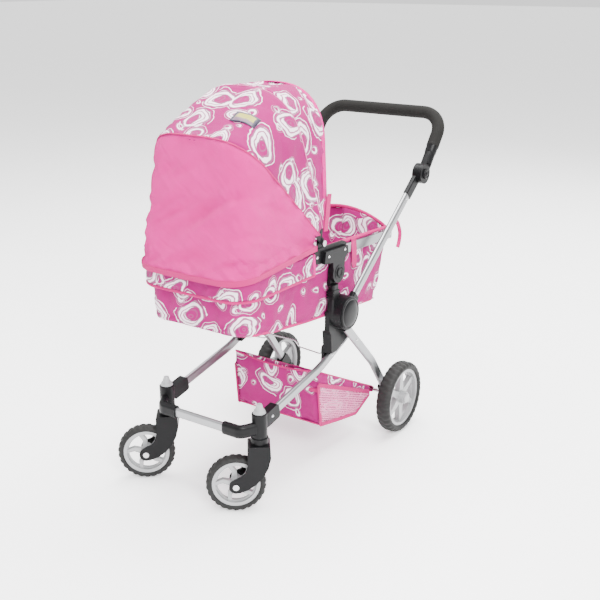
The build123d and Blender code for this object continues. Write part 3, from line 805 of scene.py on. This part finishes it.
edging = hoodTape("hood_edge_binding", bowRear[0] + 0.8, bowRear, paints["pink_plain"], "hood_rear")
seamCover = hoodTape("hood_front_seam", bowFront[0], bowFront, bindingTape, "hood_front")
middleSeam = hoodTape("hood_middle_seam", bowMiddle[0], bowMiddle, stitchThread, "hood_middle")
hemBand = hoodTape("hood_hem_band", hem[0], hem, bindingTape, "carrycot")
declareSheet(frontPanel, (0.80, 0.30), frontArea)
declareSheet(domeMiddle, (0.76, 0.17),
             middleArea)
declareSheet(domeRear, (0.74, 0.12),
             rearArea)
print("hood sewn")


# Carrycot: tub walls, skirt over the rail, floor, bindings, mattress

cot = {
    "half": 0.1168, "front": -0.3365, "corner": 0.040, "rearCorner": 0.018,
    "floorBack": 0.138, "topBack": 0.185,
    "floorLine": ((-0.337, 0.368), (-0.256, 0.355), (-0.126, 0.339), (0.138, 0.315)),
    "railHeight": 0.462, "railFall": -0.04541, "lipOverRail": 0.0150, "arch": 0.036, "underHood": 0.482,
    "hoodEnd": -0.128, "backStart": -0.085, "rows": 24,
    "wrinkleSize": 14, "wrinkleFine": 41, "wrinkleDepth": 0.0022,
    "cloth": {"steps": 24, "grow": 0.026, "push": 0.12, "gravity": 0.25, "bend": 0.05, "cap": 0.0042},
}


def floorHeight(y):
    line = cot["floorLine"]
    for (y0, z0), (y1, z1) in zip(line, line[1:]):
        if y <= y1 or (y1, z1) == line[-1]:
            return z0 + (z1 - z0) * (y - y0) / (y1 - y0)


def railHeight(y):
    return cot["railHeight"] + cot["railFall"] * y


def lipHeight(x, y):
    if y > cot["topBack"] - 0.004:
        return railHeight(y) + cot["lipOverRail"] * 0.6 + cot["arch"] * (1 - (x / cot["half"]) ** 2)
    behind = railHeight(y) + cot["lipOverRail"]
    return behind + (cot["underHood"] - behind) * (1 - blendStep(cot["hoodEnd"], cot["backStart"], y))


# The tub's outline seen from above, from the middle of its back round to the same point
def cotLoop(share):
    half, front, corner = cot["half"], cot["front"], cot["corner"]
    rearCorner = cot["rearCorner"]
    back = cot["floorBack"] + (cot["topBack"] - cot["floorBack"]) * share
    loop = []
    for k in range(16):
        loop.append((-(half - rearCorner) * k / 16, back))
    for k in range(6):
        a = math.radians(90 + 90 * k / 6)
        x, y = -half + rearCorner + rearCorner * math.cos(a), back - rearCorner + rearCorner * math.sin(a)
        loop.append((x, y))
    for k in range(54):
        loop.append((-half, back - rearCorner + (front + corner - back + rearCorner) * k / 54))
    for k in range(10):
        a = math.radians(180 + 90 * k / 10)
        loop.append((-half + corner + corner * math.cos(a), front + corner + corner * math.sin(a)))
    for k in range(13):
        loop.append((-(half - corner) * (1 - k / 13), front))
    return loop + [(0.0, front)] + [(-x, y) for x, y in reversed(loop)]


def cotWalls():
    rows = cot["rows"]
    grid, flat = [], []
    lower = cotLoop(0.0)
    runs = [0.0]
    for a, b in zip(lower, lower[1:]):
        runs.append(runs[-1] + math.dist(a, b))
    for k in range(rows):
        share = k / (rows - 1)
        row, coords = [], []
        for j, ((x, y), (_, lowY)) in enumerate(zip(cotLoop(share), lower)):
            bottom, top = floorHeight(lowY), lipHeight(x, y)
            z = bottom + (top - bottom) * share
            tuck = 0.004 * (1 - blendStep(0, 0.3, share))
            row.append((x * (1 - tuck / cot["half"]), y, z))
            coords.append((runs[j], z))
        grid.append(row)
        flat.append(coords)
    piece = clothGrid("cot_walls", grid, flat, paints["pink_print"])
    columns = len(grid[0])
    held = edgeRows(rows, columns)
    for k, v in enumerate(piece.data.vertices):
        local = v.co - at(0, 0, 0)
        besideRail = abs(local.z - railHeight(local.y)) < 0.014 and local.y < cot["topBack"] - 0.002
        atHub = abs(local.y + 0.045) < 0.030 and abs(local.x) > 0.1
        if besideRail or atHub or k % columns in (0, columns - 1):
            held.append(k)
    area = flatArea(piece)
    free = set(range(len(piece.data.vertices))) - set(held)
    mesh = piece.data
    for k in free:
        v = mesh.vertices[k]
        spot = v.co * cot["wrinkleSize"]
        pull = noise.noise(Vector((spot.x + spot.y * 0.6, spot.y, spot.z * 0.6 + 3))) * 0.7
        pull += noise.noise(v.co * cot["wrinkleFine"]) * 0.3
        v.co += v.normal * pull * cot["wrinkleDepth"]
    settle(piece, sorted(set(held)), **cot["cloth"])
    return piece, area


walls, wallArea = cotWalls()
thicken(walls, 0.0024, 1.0)
ride(walls, "carrycot")
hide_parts("cot_shell")


def cotFloor():
    rows, columns, grid, flat = 34, 25, [], []
    for k in range(rows):
        y = cot["front"] + 0.0005 + (cot["floorBack"] - cot["front"] - 0.001) * k / (rows - 1)
        fromFront = y - cot["front"]
        half = cot["half"] - 0.004
        if fromFront < cot["corner"]:
            half -= cot["corner"] - math.sqrt(cot["corner"] ** 2 - (cot["corner"] - fromFront) ** 2)
        row = [(half * (2 * j / (columns - 1) - 1), y, floorHeight(y) + 0.0006) for j in range(columns)]
        grid.append(row)
        flat.append([(p[0] + 0.7, p[1]) for p in row])
    piece = clothGrid("cot_floor", grid, flat, paints["pink_print"])
    area = flatArea(piece)
    thicken(piece, 0.0016)
    return ride(piece, "carrycot"), area


underside, floorArea = cotFloor()


def loopPath(share, height, inset=0.0, outset=0.0):
    path = []
    for x, y in cotLoop(share):
        scale = (cot["half"] - inset + outset) / cot["half"]
        path.append(at(x * scale, y - (outset - inset if y < -0.25 else inset - outset), height(x, y)))
    return path[:-1]


bottomPiping = sweep("cot_bottom_piping", loopPath(0.0, lambda x, y: floorHeight(y) + 0.0008, 0.0035),
                     roundSection(0.0032), bindingTape, Vector((0, 0, 1)), closed=True)
ride(bottomPiping, "carrycot")


def lipPath():
    path = [at(x * 1.006, y, lipHeight(x, y)) for x, y in cotLoop(1.0)]
    return [p for p in path[:-1] if p.y > cot["hoodEnd"] - 0.03]


def lipBinding():
    path = lipPath()
    start = max(range(len(path)), key=lambda k: (path[(k + 1) % len(path)] - path[k]).length)
    path = path[start + 1:] + path[:start + 1]
    section = roundSection(0.0030, 12, 1.35)
    return sweep("cot_lip_binding", path, section, bindingTape, Vector((0, 0, 1)))


ride(lipBinding(), "carrycot")

skirt = {
    "profile": ((0.1178, 0.4402), (0.1225, 0.4374), (0.1278, 0.4366), (0.1302, 0.4395),
                (0.1308, 0.4470), (0.1304, 0.4560), (0.1298, 0.4650), (0.1292, 0.4730), (0.1288, 0.4800)),
    "front": -0.3530, "reference": 0.1290, "corner": 0.054, "end": -0.129,
    "endTape": ((0.1306, 0.4372), (0.1308, 0.4500), (0.1300, 0.4650), (0.1290, 0.4800)),
}


def skirtLine(half):
    corner = skirt["corner"] + (half - skirt["reference"])
    front = skirt["front"] - (half - skirt["reference"])
    line = [(-half, skirt["end"] + (front + corner - skirt["end"]) * k / 26) for k in range(26)]
    for k in range(14):
        a = math.radians(180 + 90 * k / 14)
        line.append((-half + corner + corner * math.cos(a), front + corner + corner * math.sin(a)))
    line += [(-(half - corner) * (1 - k / 14), front) for k in range(14)]
    return line + [(0.0, front)] + [(-x, y) for x, y in reversed(line)]


def cotSkirt():
    rows = resample([(0, x, z) for x, z in skirt["profile"]], 15)
    grid = [[(x, y, p.z) for x, y in skirtLine(p.y)] for p in rows]
    outline = skirtLine(skirt["reference"])
    runs = [0.0]
    for a, b in zip(outline, outline[1:]):
        runs.append(runs[-1] + math.dist(a, b))
    heights = [0.0]
    for a, b in zip(rows, rows[1:]):
        heights.append(heights[-1] + (b - a).length)
    flat = [[(run + 1.3, h + 0.5) for run in runs] for h in heights]
    piece = clothGrid("cot_rail_cover", grid, flat, paints["pink_print"])
    columns = len(grid[0])
    area = flatArea(piece)
    crumple(piece, 0.0012, 26, 11.2)
    held = edgeRows(15, columns, 1) + list(range(columns, 5 * columns))
    settle(piece, held, 20, 0.03, 0.15, 0.1, 0.04, 0.0030)
    thicken(piece, 0.0010)
    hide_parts("cot_skirt")
    return ride(piece, "carrycot"), area


railCover, coverArea = cotSkirt()
ridgePath = [at(x, y, 0.4372) for x, y in skirtLine(0.1300)]
ridgePiping = sweep("cot_ridge_piping", ridgePath, roundSection(0.0028), bindingTape, Vector((0, 0, 1)))
ride(ridgePiping, "carrycot")
for side in (1, -1):
    upright = resample([at(side * x, skirt["end"], z) for x, z in skirt["endTape"]], 12)
    name = "cot_cover_end_left" if side > 0 else "cot_cover_end_right"
    section = roundSection(0.0042, 10, 0.45)
    endTape = sweep(name, upright, section, paints["pink_plain"], Vector((side, 0, 0)))
    ride(endTape, "carrycot")
declareSheet(walls, (1.400, 0.175), wallArea)
declareSheet(underside, (0.232, 0.478), floorArea)
declareSheet(railCover, (0.70, 0.060), coverArea)

pad = {
    "from": -0.322, "to": 0.126, "half": 0.1065, "corner": 0.030, "rim": 0.016, "quilt": 0.058,
    "lift": 0.0048, "crown": 0.0062, "puff": 0.0040, "thickness": 0.0030,
}


# A quilted pad on the floor of the tub, its squares sewn on the slant
def mattress():
    rows, columns = 56, 30
    low, high, corner = pad["from"], pad["to"], pad["corner"]
    grid, flat = [], []
    for k in range(rows):
        y = low + (high - low) * k / (rows - 1)
        fromEnd = min(y - low, high - y)
        half = pad["half"] - (corner - math.sqrt(max(0.0, corner ** 2 - max(0.0, corner - fromEnd) ** 2)))
        row, coords = [], []
        for j in range(columns):
            x = half * (2 * j / (columns - 1) - 1)
            rim = min(1.0, min(half - abs(x), fromEnd) / pad["rim"])
            puff = math.sqrt(max(0.0, rim * (2 - rim)))
            rising = abs(math.sin(math.pi * (x + y) / pad["quilt"])) ** 0.5
            quilt = rising * abs(math.sin(math.pi * (x - y) / pad["quilt"])) ** 0.5
            row.append((x, y, floorHeight(y) + pad["lift"] + puff * (pad["crown"] + pad["puff"] * quilt)))
            coords.append((x, y))
        grid.append(row)
        flat.append(coords)
    piece = clothGrid("cot_mattress", grid, flat, paints["pink_plain"])
    crumple(piece, 0.0008, 30, 2.2)
    thicken(piece, pad["thickness"])
    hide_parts("cot_board")
    print("mattress quilted")
    return ride(piece, "carrycot")


mattress()


# Straps over the rail, a ribbon at the rail's rear end, the label on the hood

strap = {
    "width": 0.0200, "top": 0.4745, "tip": 0.4135, "out": 0.1246, "middleY": 0.0280,
    "wave": 0.0012, "kick": 0.0014, "turnIn": 0.0045, "turnUp": 0.0030, "turnRows": 5,
}


def strapPiece(side):
    top, tip, middleY = strap["top"], strap["tip"], strap["middleY"]
    rows, columns = 22, 9
    grid, flat = [], []
    for k in range(rows):
        z = top - (top - tip) * k / (rows - 1)
        fromTip = z - tip
        half = strap["width"] / 2
        if fromTip < half:      # the rounded tip
            half = math.sqrt(max(1e-8, half ** 2 - (half - fromTip) ** 2))
        out = strap["out"] + strap["wave"] * math.sin(fromTip * 70) + strap["kick"] * blendStep(0.435, tip, z)
        row = [(side * out, middleY + half * (2 * j / (columns - 1) - 1), z) for j in range(columns)]
        grid.append(row)
        flat.append([(p[1], p[2]) for p in row])
    for step in range(1, strap["turnRows"] + 1):        # the strap turns in over the rail
        a = math.radians(90 * step / strap["turnRows"])
        x = side * (strap["out"] - strap["turnIn"] * (1 - math.cos(a)))
        row = [(x, p[1], top + strap["turnUp"] * math.sin(a)) for p in grid[0]]
        grid.insert(0, row)
        flat.insert(0, [(p[1], p[2] + strap["turnUp"] * step) for p in row])
    name = "rail_strap_left" if side > 0 else "rail_strap_right"
    piece = clothGrid(name, grid, flat, bindingTape)
    thicken(piece, 0.0014, 0.0, 1)
    return ride(piece, "carrycot")


straps = [strapPiece(1), strapPiece(-1)]
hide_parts("bar_straps")

ribbonRoute = (
    (0.1235, 0.176, 0.4600), (0.1245, 0.188, 0.4690), (0.1230, 0.201, 0.4765), (0.1200, 0.216, 0.4735),
    (0.1175, 0.231, 0.4590), (0.1165, 0.2395, 0.4400), (0.1180, 0.2330, 0.4210), (0.1200, 0.2240, 0.4120),
)


def smoothRoute(points, count):
    points = [Vector(p) for p in points]
    fine = []
    ends = [points[0] * 2 - points[1], *points, points[-1] * 2 - points[-2]]
    for a, b, c, d in zip(ends, ends[1:], ends[2:], ends[3:]):
        for k in range(12):
            t = k / 12
            square, cube = (2 * a - 5 * b + 4 * c - d) * t ** 2, (3 * b - a - 3 * c + d) * t ** 3
            fine.append(0.5 * (2 * b + (c - a) * t + square + cube))
    return resample(fine + [points[-1]], count)


ribbonPath = smoothRoute([at(*p) for p in ribbonRoute], 44)
ribbon = sweep("rail_ribbon", ribbonPath, tapeSection(0.0085, 0.0008), bindingTape,
               Vector((0.62, -0.74, 0.26)))
ride(ribbon, "carrycot")
ribbonLength = sum((b - a).length for a, b in zip(ribbonPath, ribbonPath[1:]))


def nearestOn(target, point):
    found, where, normal, _ = target.closest_point_on_mesh(point)
    return where, normal


labelSize = {
    "first": 0.046, "last": 0.092, "low": 124.6, "high": 119.6,    # places across, then angles
    "section": (0.3100, 0.1338, 0.019, 0.090, 0.05), "cloth": (0.021, 0.0112), "standOff": 0.0014,
}


def hoodLabel():
    rows, columns, grid, flat = 9, 17, [], []
    section = hoodSection(*labelSize["section"])
    for k in range(rows):
        angle = labelSize["low"] + (labelSize["high"] - labelSize["low"]) * k / (rows - 1)
        row = []
        for j in range(columns):
            x = labelSize["first"] + (labelSize["last"] - labelSize["first"]) * j / (columns - 1)
            r = min(section, key=lambda s: abs(s[0] - x))[1]
            where, normal = nearestOn(domeMiddle, at(*hoodPoint(angle, x, r)))
            outward = normal if normal.dot(where - hoodPivot) > 0 else -normal
            row.append(where + outward * labelSize["standOff"])
        grid.append(row)
    points = [p for row in grid for p in row]
    wide, tall = labelSize["cloth"]
    for k in range(rows):
        flat += [((j / (columns - 1) - 0.5) * wide, (k / (rows - 1) - 0.5) * tall) for j in range(columns)]
    piece = addPiece("hood_label", points, gridFaces(rows, columns), labelWeave, flat)
    thicken(piece, 0.0006, 1.0)
    return piece


label = hoodLabel()
hoodBlend(label, "hood_front", "hood_middle", bowFront[0], bowMiddle[0], blendReach["dome"])

cornerBand = {"x": 0.1366, "spread": 0.0004, "from": 0.024, "step": 0.0122, "points": 7, "behind": 1.0}

for side in (1, -1):
    name = "hood_corner_band_left" if side > 0 else "hood_corner_band_right"
    line = []
    for k in range(cornerBand["points"]):
        x = side * (cornerBand["x"] + cornerBand["spread"] * k)
        r = cornerBand["from"] + cornerBand["step"] * k
        line.append(at(x, *hoodPoint(bowRear[0] - cornerBand["behind"], 0, r)[1:]))
    section = tapeSection(0.0140, 0.0014, 0.0006)
    band = sweep(name, resample(line, 16), section, bindingTape, Vector((-side, 0, 0)))
    ride(band, "hood_rear")
print("carrycot sewn")


# Basket slung from the front legs and the rear axle

basket = {
    "half": 0.1072, "top": ((-0.0795, 0.2125), (0.1335, 0.1030)), "bandWidth": (0.030, 0.014),
    "floor": ((-0.0700, 0.0870), (0.0100, 0.0700), (0.0760, 0.0580), (0.1335, 0.0830)),
    "seam": 0.1690, "sag": 0.006, "droop": 0.010, "underSag": 0.004, "netBow": 0.003,
}
basketCloth = {     # settling: the furthest a point may move, the growth and the push
    "front": {"cap": 0.005, "grow": 0.03, "push": 0.1}, "floor": {"cap": 0.004, "grow": 0.03, "push": 0.1},
    "band": {"cap": 0.0025, "grow": 0.03, "push": 0.1}, "net": {"cap": 0.003, "grow": 0.012, "push": 0.0},
}


def basketTop(share):
    (y0, z0), (y1, z1) = basket["top"]
    return y0 + (y1 - y0) * share, z0 + (z1 - z0) * share


def basketFloor(share):
    line = resample([(0, y, z) for y, z in basket["floor"]], 61)
    p = line[round(share * 60)]
    return p.y, p.z


def basketSheet(name, grid, flat, paint, kind):
    piece = clothGrid(name, grid, flat, paint)
    area = flatArea(piece)
    crumple(piece, 0.0016, 22, len(name) * 1.7)
    held = edgeRows(len(grid), len(grid[0]), 1)
    settle(piece, held, 20, gravity=0.5, bend=0.04, **basketCloth[kind])
    thicken(piece, 0.0010, 0.0)
    return ride(piece, "chassis"), area


def basketFront():
    rows, columns, grid, flat = 24, 41, [], []
    (topY, topZ), (lowY, lowZ) = basket["top"][0], basket["floor"][0]
    for k in range(rows):
        share = k / (rows - 1)
        y, z = topY + (lowY - topY) * share, topZ + (lowZ - topZ) * share
        sag = basket["sag"] * math.sin(math.pi * share)
        row = []
        for j in range(columns):
            x = basket["half"] * (2 * j / (columns - 1) - 1)
            droop = basket["droop"] * (1 - share) * (1 - (x / basket["half"]) ** 2)
            row.append((x, y + sag * (1 - (x / basket["half"]) ** 2), z - droop))
        grid.append(row)
        flat.append([(p[0] + 2.1, p[2] + 0.3) for p in row])
    return basketSheet("basket_front", grid, flat, paints["pink_print"], "front")


def basketUnder():
    rows, columns, grid, flat = 40, 33, [], []
    line = resample([(0, y, z) for y, z in basket["floor"]] + [(0, *basket["top"][1])], rows)
    for k, p in enumerate(line):
        sag = basket["underSag"] * math.sin(math.pi * k / (rows - 1))
        row = []
        for j in range(columns):
            x = basket["half"] * (2 * j / (columns - 1) - 1)
            row.append((x, p.y, p.z + sag * (x / basket["half"]) ** 2))
        grid.append(row)
        flat.append([(q[0] + 3.3, k * 0.0066) for q in row])
    return basketSheet("basket_floor", grid, flat, paints["pink_print"], "floor")


sideTapes = {     # width, and how far it stands out from the netting
    "seam": (0.0085, 0.0012), "foot": (0.0080, 0.0010), "post": (0.0100, 0.0012), "top": (0.0030, 0.0004),
    "section": (0.0012, 0.0005),
}


def basketSide(side):
    rows, columns, bandRows = 16, 45, 6
    word = "left" if side > 0 else "right"
    bandGrid, bandFlat, netGrid, netFlat = [], [], [], []
    wide = basket["bandWidth"]
    for k in range(bandRows):
        row = []
        for j in range(columns):
            share = j / (columns - 1)
            y, z = basketTop(share)
            depth = (wide[0] + (wide[1] - wide[0]) * share) * k / (bandRows - 1)
            row.append((side * basket["half"], y, z - depth))
        bandGrid.append(row)
        bandFlat.append([(p[1] + 4.2, p[2] + 0.7) for p in row])
    lower = bandGrid[-1]
    for k in range(rows):
        share, row = k / (rows - 1), []
        for j in range(columns):
            y, z = basketFloor(j / (columns - 1))
            _, topY, topZ = lower[j]
            bow = basket["netBow"] * math.sin(math.pi * share)
            x = side * (basket["half"] + bow)
            row.append((x, topY + (y - topY) * share, topZ + (z - topZ) * share))
        netGrid.append(row)
        netFlat.append([(p[1], p[2]) for p in row])
    band = basketSheet(f"basket_band_{word}", bandGrid, bandFlat, paints["pink_print"], "band")
    net = basketSheet(f"basket_net_{word}", netGrid, netFlat, netting, "net")
    routes = {
        "seam": [(p[1], p[2]) for p in lower],
        "foot": [basketFloor(j / 30) for j in range(31)],
        "post": [(row[0][1] + 0.001, row[0][2]) for row in netGrid],
        "top": [basketTop(j / 30) for j in range(31)],
    }
    tapes = []
    for place, route in routes.items():
        width, proud = sideTapes[place]
        line = [at(side * (basket["half"] + proud), y, z) for y, z in route]
        section = tapeSection(width, *sideTapes["section"])
        tape = sweep(f"basket_{place}_tape_{word}", line, section, bindingTape, Vector((side, 0, 0)))
        tapes.append(ride(tape, "chassis"))
    return band, net, tapes


frontSheet, _ = basketFront()
underSheet, underArea = basketUnder()
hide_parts("basket")
declareSheet(frontSheet, (0.216, 0.130), None)
declareSheet(underSheet, (0.216, 0.262), min(underArea, 0.216 * 0.262))
for side in (1, -1):
    (band, bandArea), (net, netArea), tapes = basketSide(side)
    declareSheet(band, (0.240, 0.030), min(bandArea, 0.240 * 0.030))
    declareSheet(net, (0.240, 0.100), netArea)

crossTapes = {     # width, thickness, crown, and the way it faces
    "front_top": (0.0040, 0.0012, 0.0004, (0, -1, 0)), "front_seam": (0.0085, 0.0014, 0.0005, (0, -1, 0)),
    "front_foot": (0.0070, 0.0014, 0.0005, (0, -0.7, -0.7)), "rear_top": (0.0080, 0.0012, 0.0005, (0, 1, 0)),
    "steps": 20,
}


def crossTape(place, route):
    steps = crossTapes["steps"]
    width, thickness, crown, facing = crossTapes[place]
    line = [at(k * basket["half"] / steps, *route(1 - (k / steps) ** 2)) for k in range(-steps, steps + 1)]
    section = tapeSection(width, thickness, crown)
    tape = sweep(f"basket_{place}_tape", line, section, bindingTape, Vector(facing))
    return ride(tape, "chassis")


(topY, topZ), (rearY, rearZ) = basket["top"]
footY, footZ = basket["floor"][0]
seamShare = (topZ - basket["seam"]) / (topZ - footZ)
seamY = topY + (footY - topY) * seamShare - 0.0015
seamBend = basket["sag"] * math.sin(math.pi * seamShare)
seamDroop = basket["droop"] * (1 - seamShare)

# Each route takes how near it is to the middle, and gives a place in y and z
crossTape("front_top", lambda near: (topY - 0.0012, topZ - basket["droop"] * near))
crossTape("front_seam", lambda near: (seamY + seamBend * near, basket["seam"] - seamDroop * near))
crossTape("front_foot", lambda near: (footY - 0.001, footZ + 0.001))
crossTape("rear_top", lambda near: (rearY + 0.0005, rearZ - 0.002))

axleLoop = {"x": 0.095, "offset": (-0.0115, 0.0062), "length": 0.0180, "height": 0.0062, "angle": -28}


def tiltedLoop(name, x, centre):
    turn = math.radians(axleLoop["angle"])
    path = []
    for k in range(32):
        a = 2 * math.pi * k / 32
        u, v = axleLoop["length"] * math.cos(a), axleLoop["height"] * math.sin(a)
        y = centre[0] + u * math.cos(turn) - v * math.sin(turn)
        z = centre[1] + u * math.sin(turn) + v * math.cos(turn)
        path.append(at(x, y, z))
    ups = [p - at(x, *centre) for p in path]
    piece = sweep(name, path, tapeSection(0.0120, 0.0012, 0.0002), bindingTape, ups, closed=True)
    return ride(piece, "rear_legs")


axle = pivotOf("rear_wheel_spin_left")
for side in (1, -1):
    word = "left" if side > 0 else "right"
    loopCentre = (axle.y + axleLoop["offset"][0], axle.z + axleLoop["offset"][1])
    tiltedLoop(f"basket_axle_loop_{word}", side * axleLoop["x"], loopCentre)
print("basket sewn")


# Tyres with blocks, domed caps and grip ends

tyreBlocks = {     # outer and inner radius, width, blocks round the tread
    "rear": (0.082, 0.066, 0.034, 34), "front": (0.059, 0.047, 0.025, 26), "height": 0.0017,
}


def tyre(name, centre, axis, size, body, node):
    outer, inner, width, count = size
    spin = Vector((0, 0, 1)).rotation_difference(Vector(axis))
    half = width / 2
    side = outer - inner
    profile = [(inner - 0.0006, -half + 0.004), (inner + 0.0012, -half + 0.0016)]
    for k in range(11):
        a = math.radians(-82 + 164 * k / 10)
        flatten = abs(math.sin(a)) ** 0.85 * (1 if a > 0 else -1)
        profile.append((outer - side * 0.92 * (1 - math.cos(a) ** 0.55), half * flatten))
    profile += [(inner + 0.0012, half - 0.0016), (inner - 0.0006, half - 0.004)]
    turns = count * 6
    points, coords = [], []
    for k in range(turns):
        a = 2 * math.pi * k / turns
        for j, (radius, height) in enumerate(profile):
            shoulder = abs(height) / half
            lane = 0.0 if height > 0 else 0.5
            phase = (k / 6 + lane + shoulder * 0.25) % 1.0
            block = blendStep(0.0, 0.16, phase) * (1 - blendStep(0.58, 0.74, phase))
            onTread = blendStep(outer - side * 0.62, outer - side * 0.35, radius)
            groove = 0.35 if abs(height) < half * 0.12 else 1.0
            r = radius - tyreBlocks["height"] * onTread * (1 - block * groove)
            points.append(Vector(centre) + spin @ Vector((r * math.cos(a), r * math.sin(a), height)))
            coords.append((a * radius, height))
    faces = gridFaces(turns, len(profile))
    wide = len(profile)
    last = (turns - 1) * wide
    faces += [(last + j, last + j + 1, j + 1, j) for j in range(wide - 1)]
    for k in range(turns):      # the inner face, which rests on the rim
        here, ahead = k * wide, ((k + 1) % turns) * wide
        faces.append((here + wide - 1, ahead + wide - 1, ahead, here))
    piece = addPiece(name, points, faces, paints["black_tyre"], coords)
    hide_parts(node)
    return ride(piece, body)


# Turned faces over the plain discs: how far out, turns, the body and (radius, height) points
caps = {
    "hub_dome": {
        "x": 0.1578, "pivot": hubPivot, "turns": 56, "body": "pusher",
        "profile": ((0.0322, -0.0012), (0.0330, 0.0000), (0.0318, 0.0010), (0.0292, 0.0012), (0.0285, 0.0004),
                    (0.0276, 0.0010), (0.0240, 0.0024), (0.0180, 0.0036), (0.0100, 0.0043), (0.0020, 0.0045)),
    },
    "knob_face": {
        "x": 0.1652, "pivot": kneePivot, "turns": 40, "body": "knuckle_button_{}",
        "profile": ((0.0105, -0.0010), (0.0108, 0.0004), (0.0098, 0.0012), (0.0082, 0.0012), (0.0074, 0.0002),
                    (0.0050, 0.0002), (0.0044, 0.0016), (0.0034, 0.0022), (0.0006, 0.0024)),
    },
    "tilt_face": {
        "x": 0.1381, "pivot": tiltPivot, "turns": 36, "body": "tilt_button_{}",
        "profile": ((0.0084, -0.0010), (0.0088, 0.0003), (0.0078, 0.0009), (0.0062, 0.0009), (0.0054, 0.0001),
                    (0.0030, 0.0000), (0.0006, 0.0001)),
    },
}
gripEnd = {
    "angle": 52.2, "x": 0.155, "from": 0.0500,
    "profile": ((0.0095, 0.0), (0.0124, 0.0008), (0.0130, 0.0030), (0.0130, 0.0200), (0.0140, 0.0215),
                (0.0140, 0.0240), (0.0100, 0.0252)),
}


def capsOn(side, sign):
    for name, made in caps.items():
        face = Vector((midX + sign * made["x"], made["pivot"].y, made["pivot"].z))
        turns = made["turns"]
        cap = lathe(f"{name}_{side}", made["profile"], face, (sign, 0, 0), paints["black_plastic"], turns)
        ride(cap, made["body"].format(side))


def gripEndOn(side, sign):
    slope = math.radians(gripEnd["angle"])
    along = Vector((0, math.cos(slope), math.sin(slope)))
    start = Vector((midX + sign * gripEnd["x"], kneePivot.y, kneePivot.z)) + along * gripEnd["from"]
    end = lathe(f"grip_end_{side}", gripEnd["profile"], start, along, paints["black_plastic"], 32)
    ride(end, "handlebar")


for side, sign in (("left", 1), ("right", -1)):
    tyre(f"rear_tread_{side}", pivotOf(f"rear_wheel_spin_{side}"), (1, 0, 0), tyreBlocks["rear"],
         f"rear_wheel_{side}", f"rear_tyre_{side}")
    turnAxis = [j["axis"] for j in frame["joints"] if j["name"] == f"front_wheel_spin_{side}"][0]
    tyre(f"front_tread_{side}", pivotOf(f"front_wheel_spin_{side}"), turnAxis, tyreBlocks["front"],
         f"front_wheel_{side}", f"caster_tyre_{side}")
    capsOn(side, sign)
    gripEndOn(side, sign)
print("wheels and caps made")


# Camera, floor and lights

cameraSet = {"place": (1.1174, -1.6172, 0.9928), "azimuth": 34.445, "elevation": 18.721, "lens": 57.64}


def makeCamera():
    lens = bpy.data.cameras.new("camera")
    lens.lens = cameraSet["lens"]
    viewer = bpy.data.objects.new("camera", lens)
    a, e = math.radians(cameraSet["azimuth"]), math.radians(cameraSet["elevation"])
    back = Vector((math.sin(a) * math.cos(e), -math.cos(a) * math.cos(e), math.sin(e)))
    viewer.location = at(*cameraSet["place"])
    viewer.rotation_mode = "QUATERNION"
    viewer.rotation_quaternion = (-back).to_track_quat("-Z", "Y")
    scene.collection.objects.link(viewer)
    scene.camera = viewer


def makeFloor():
    size = studio["floor"]
    corners = [(-size, -size, 0), (size, -size, 0), (size, size, 0), (-size, size, 0)]
    mesh = bpy.data.meshes.new("studio_floor")
    mesh.from_pydata(corners, [], [(0, 1, 2, 3)])
    floor = bpy.data.objects.new("studio_floor", mesh)
    p = Paint("paleFloor", Roughness=0.6, Emission_Color=(1, 1, 1, 1), Emission_Strength=studio["floorGlow"])
    p.colour(p.mix(p.grain(p.place(), 3, 4), (0.90, 0.90, 0.90), (0.93, 0.93, 0.93)))
    mesh.materials.append(p.material)
    scene.collection.objects.link(floor)


studio = {     # each lamp's place, width and power
    "floor": 30.0, "floorGlow": 0.55, "sky": 1.25, "aim": (0, 0, 0.35),
    "key": ((2.0, -1.7, 2.0), 1.2, 190), "fill": ((-2.2, -1.4, 1.6), 2.0, 30),
    "back": ((0.2, 2.4, 2.2), 2.2, 90), "top": ((0.0, 0.2, 3.2), 2.6, 340),
}


def makeLights():
    world = bpy.data.worlds.new("studioAir")
    scene.world = world
    world.use_nodes = True
    air = world.node_tree.nodes["Background"]
    air.inputs["Color"].default_value = (1, 1, 1, 1)
    air.inputs["Strength"].default_value = studio["sky"]
    target = Vector(studio["aim"])
    for name in ("key", "fill", "back", "top"):
        place, size, power = studio[name]
        lamp = bpy.data.lights.new(name, "AREA")
        lamp.size, lamp.energy = size, power
        holder = bpy.data.objects.new(name, lamp)
        holder.location = place
        holder.rotation_mode = "QUATERNION"
        holder.rotation_quaternion = (target - Vector(place)).to_track_quat("-Z", "Y")
        scene.collection.objects.link(holder)


makeCamera()
makeFloor()
makeLights()
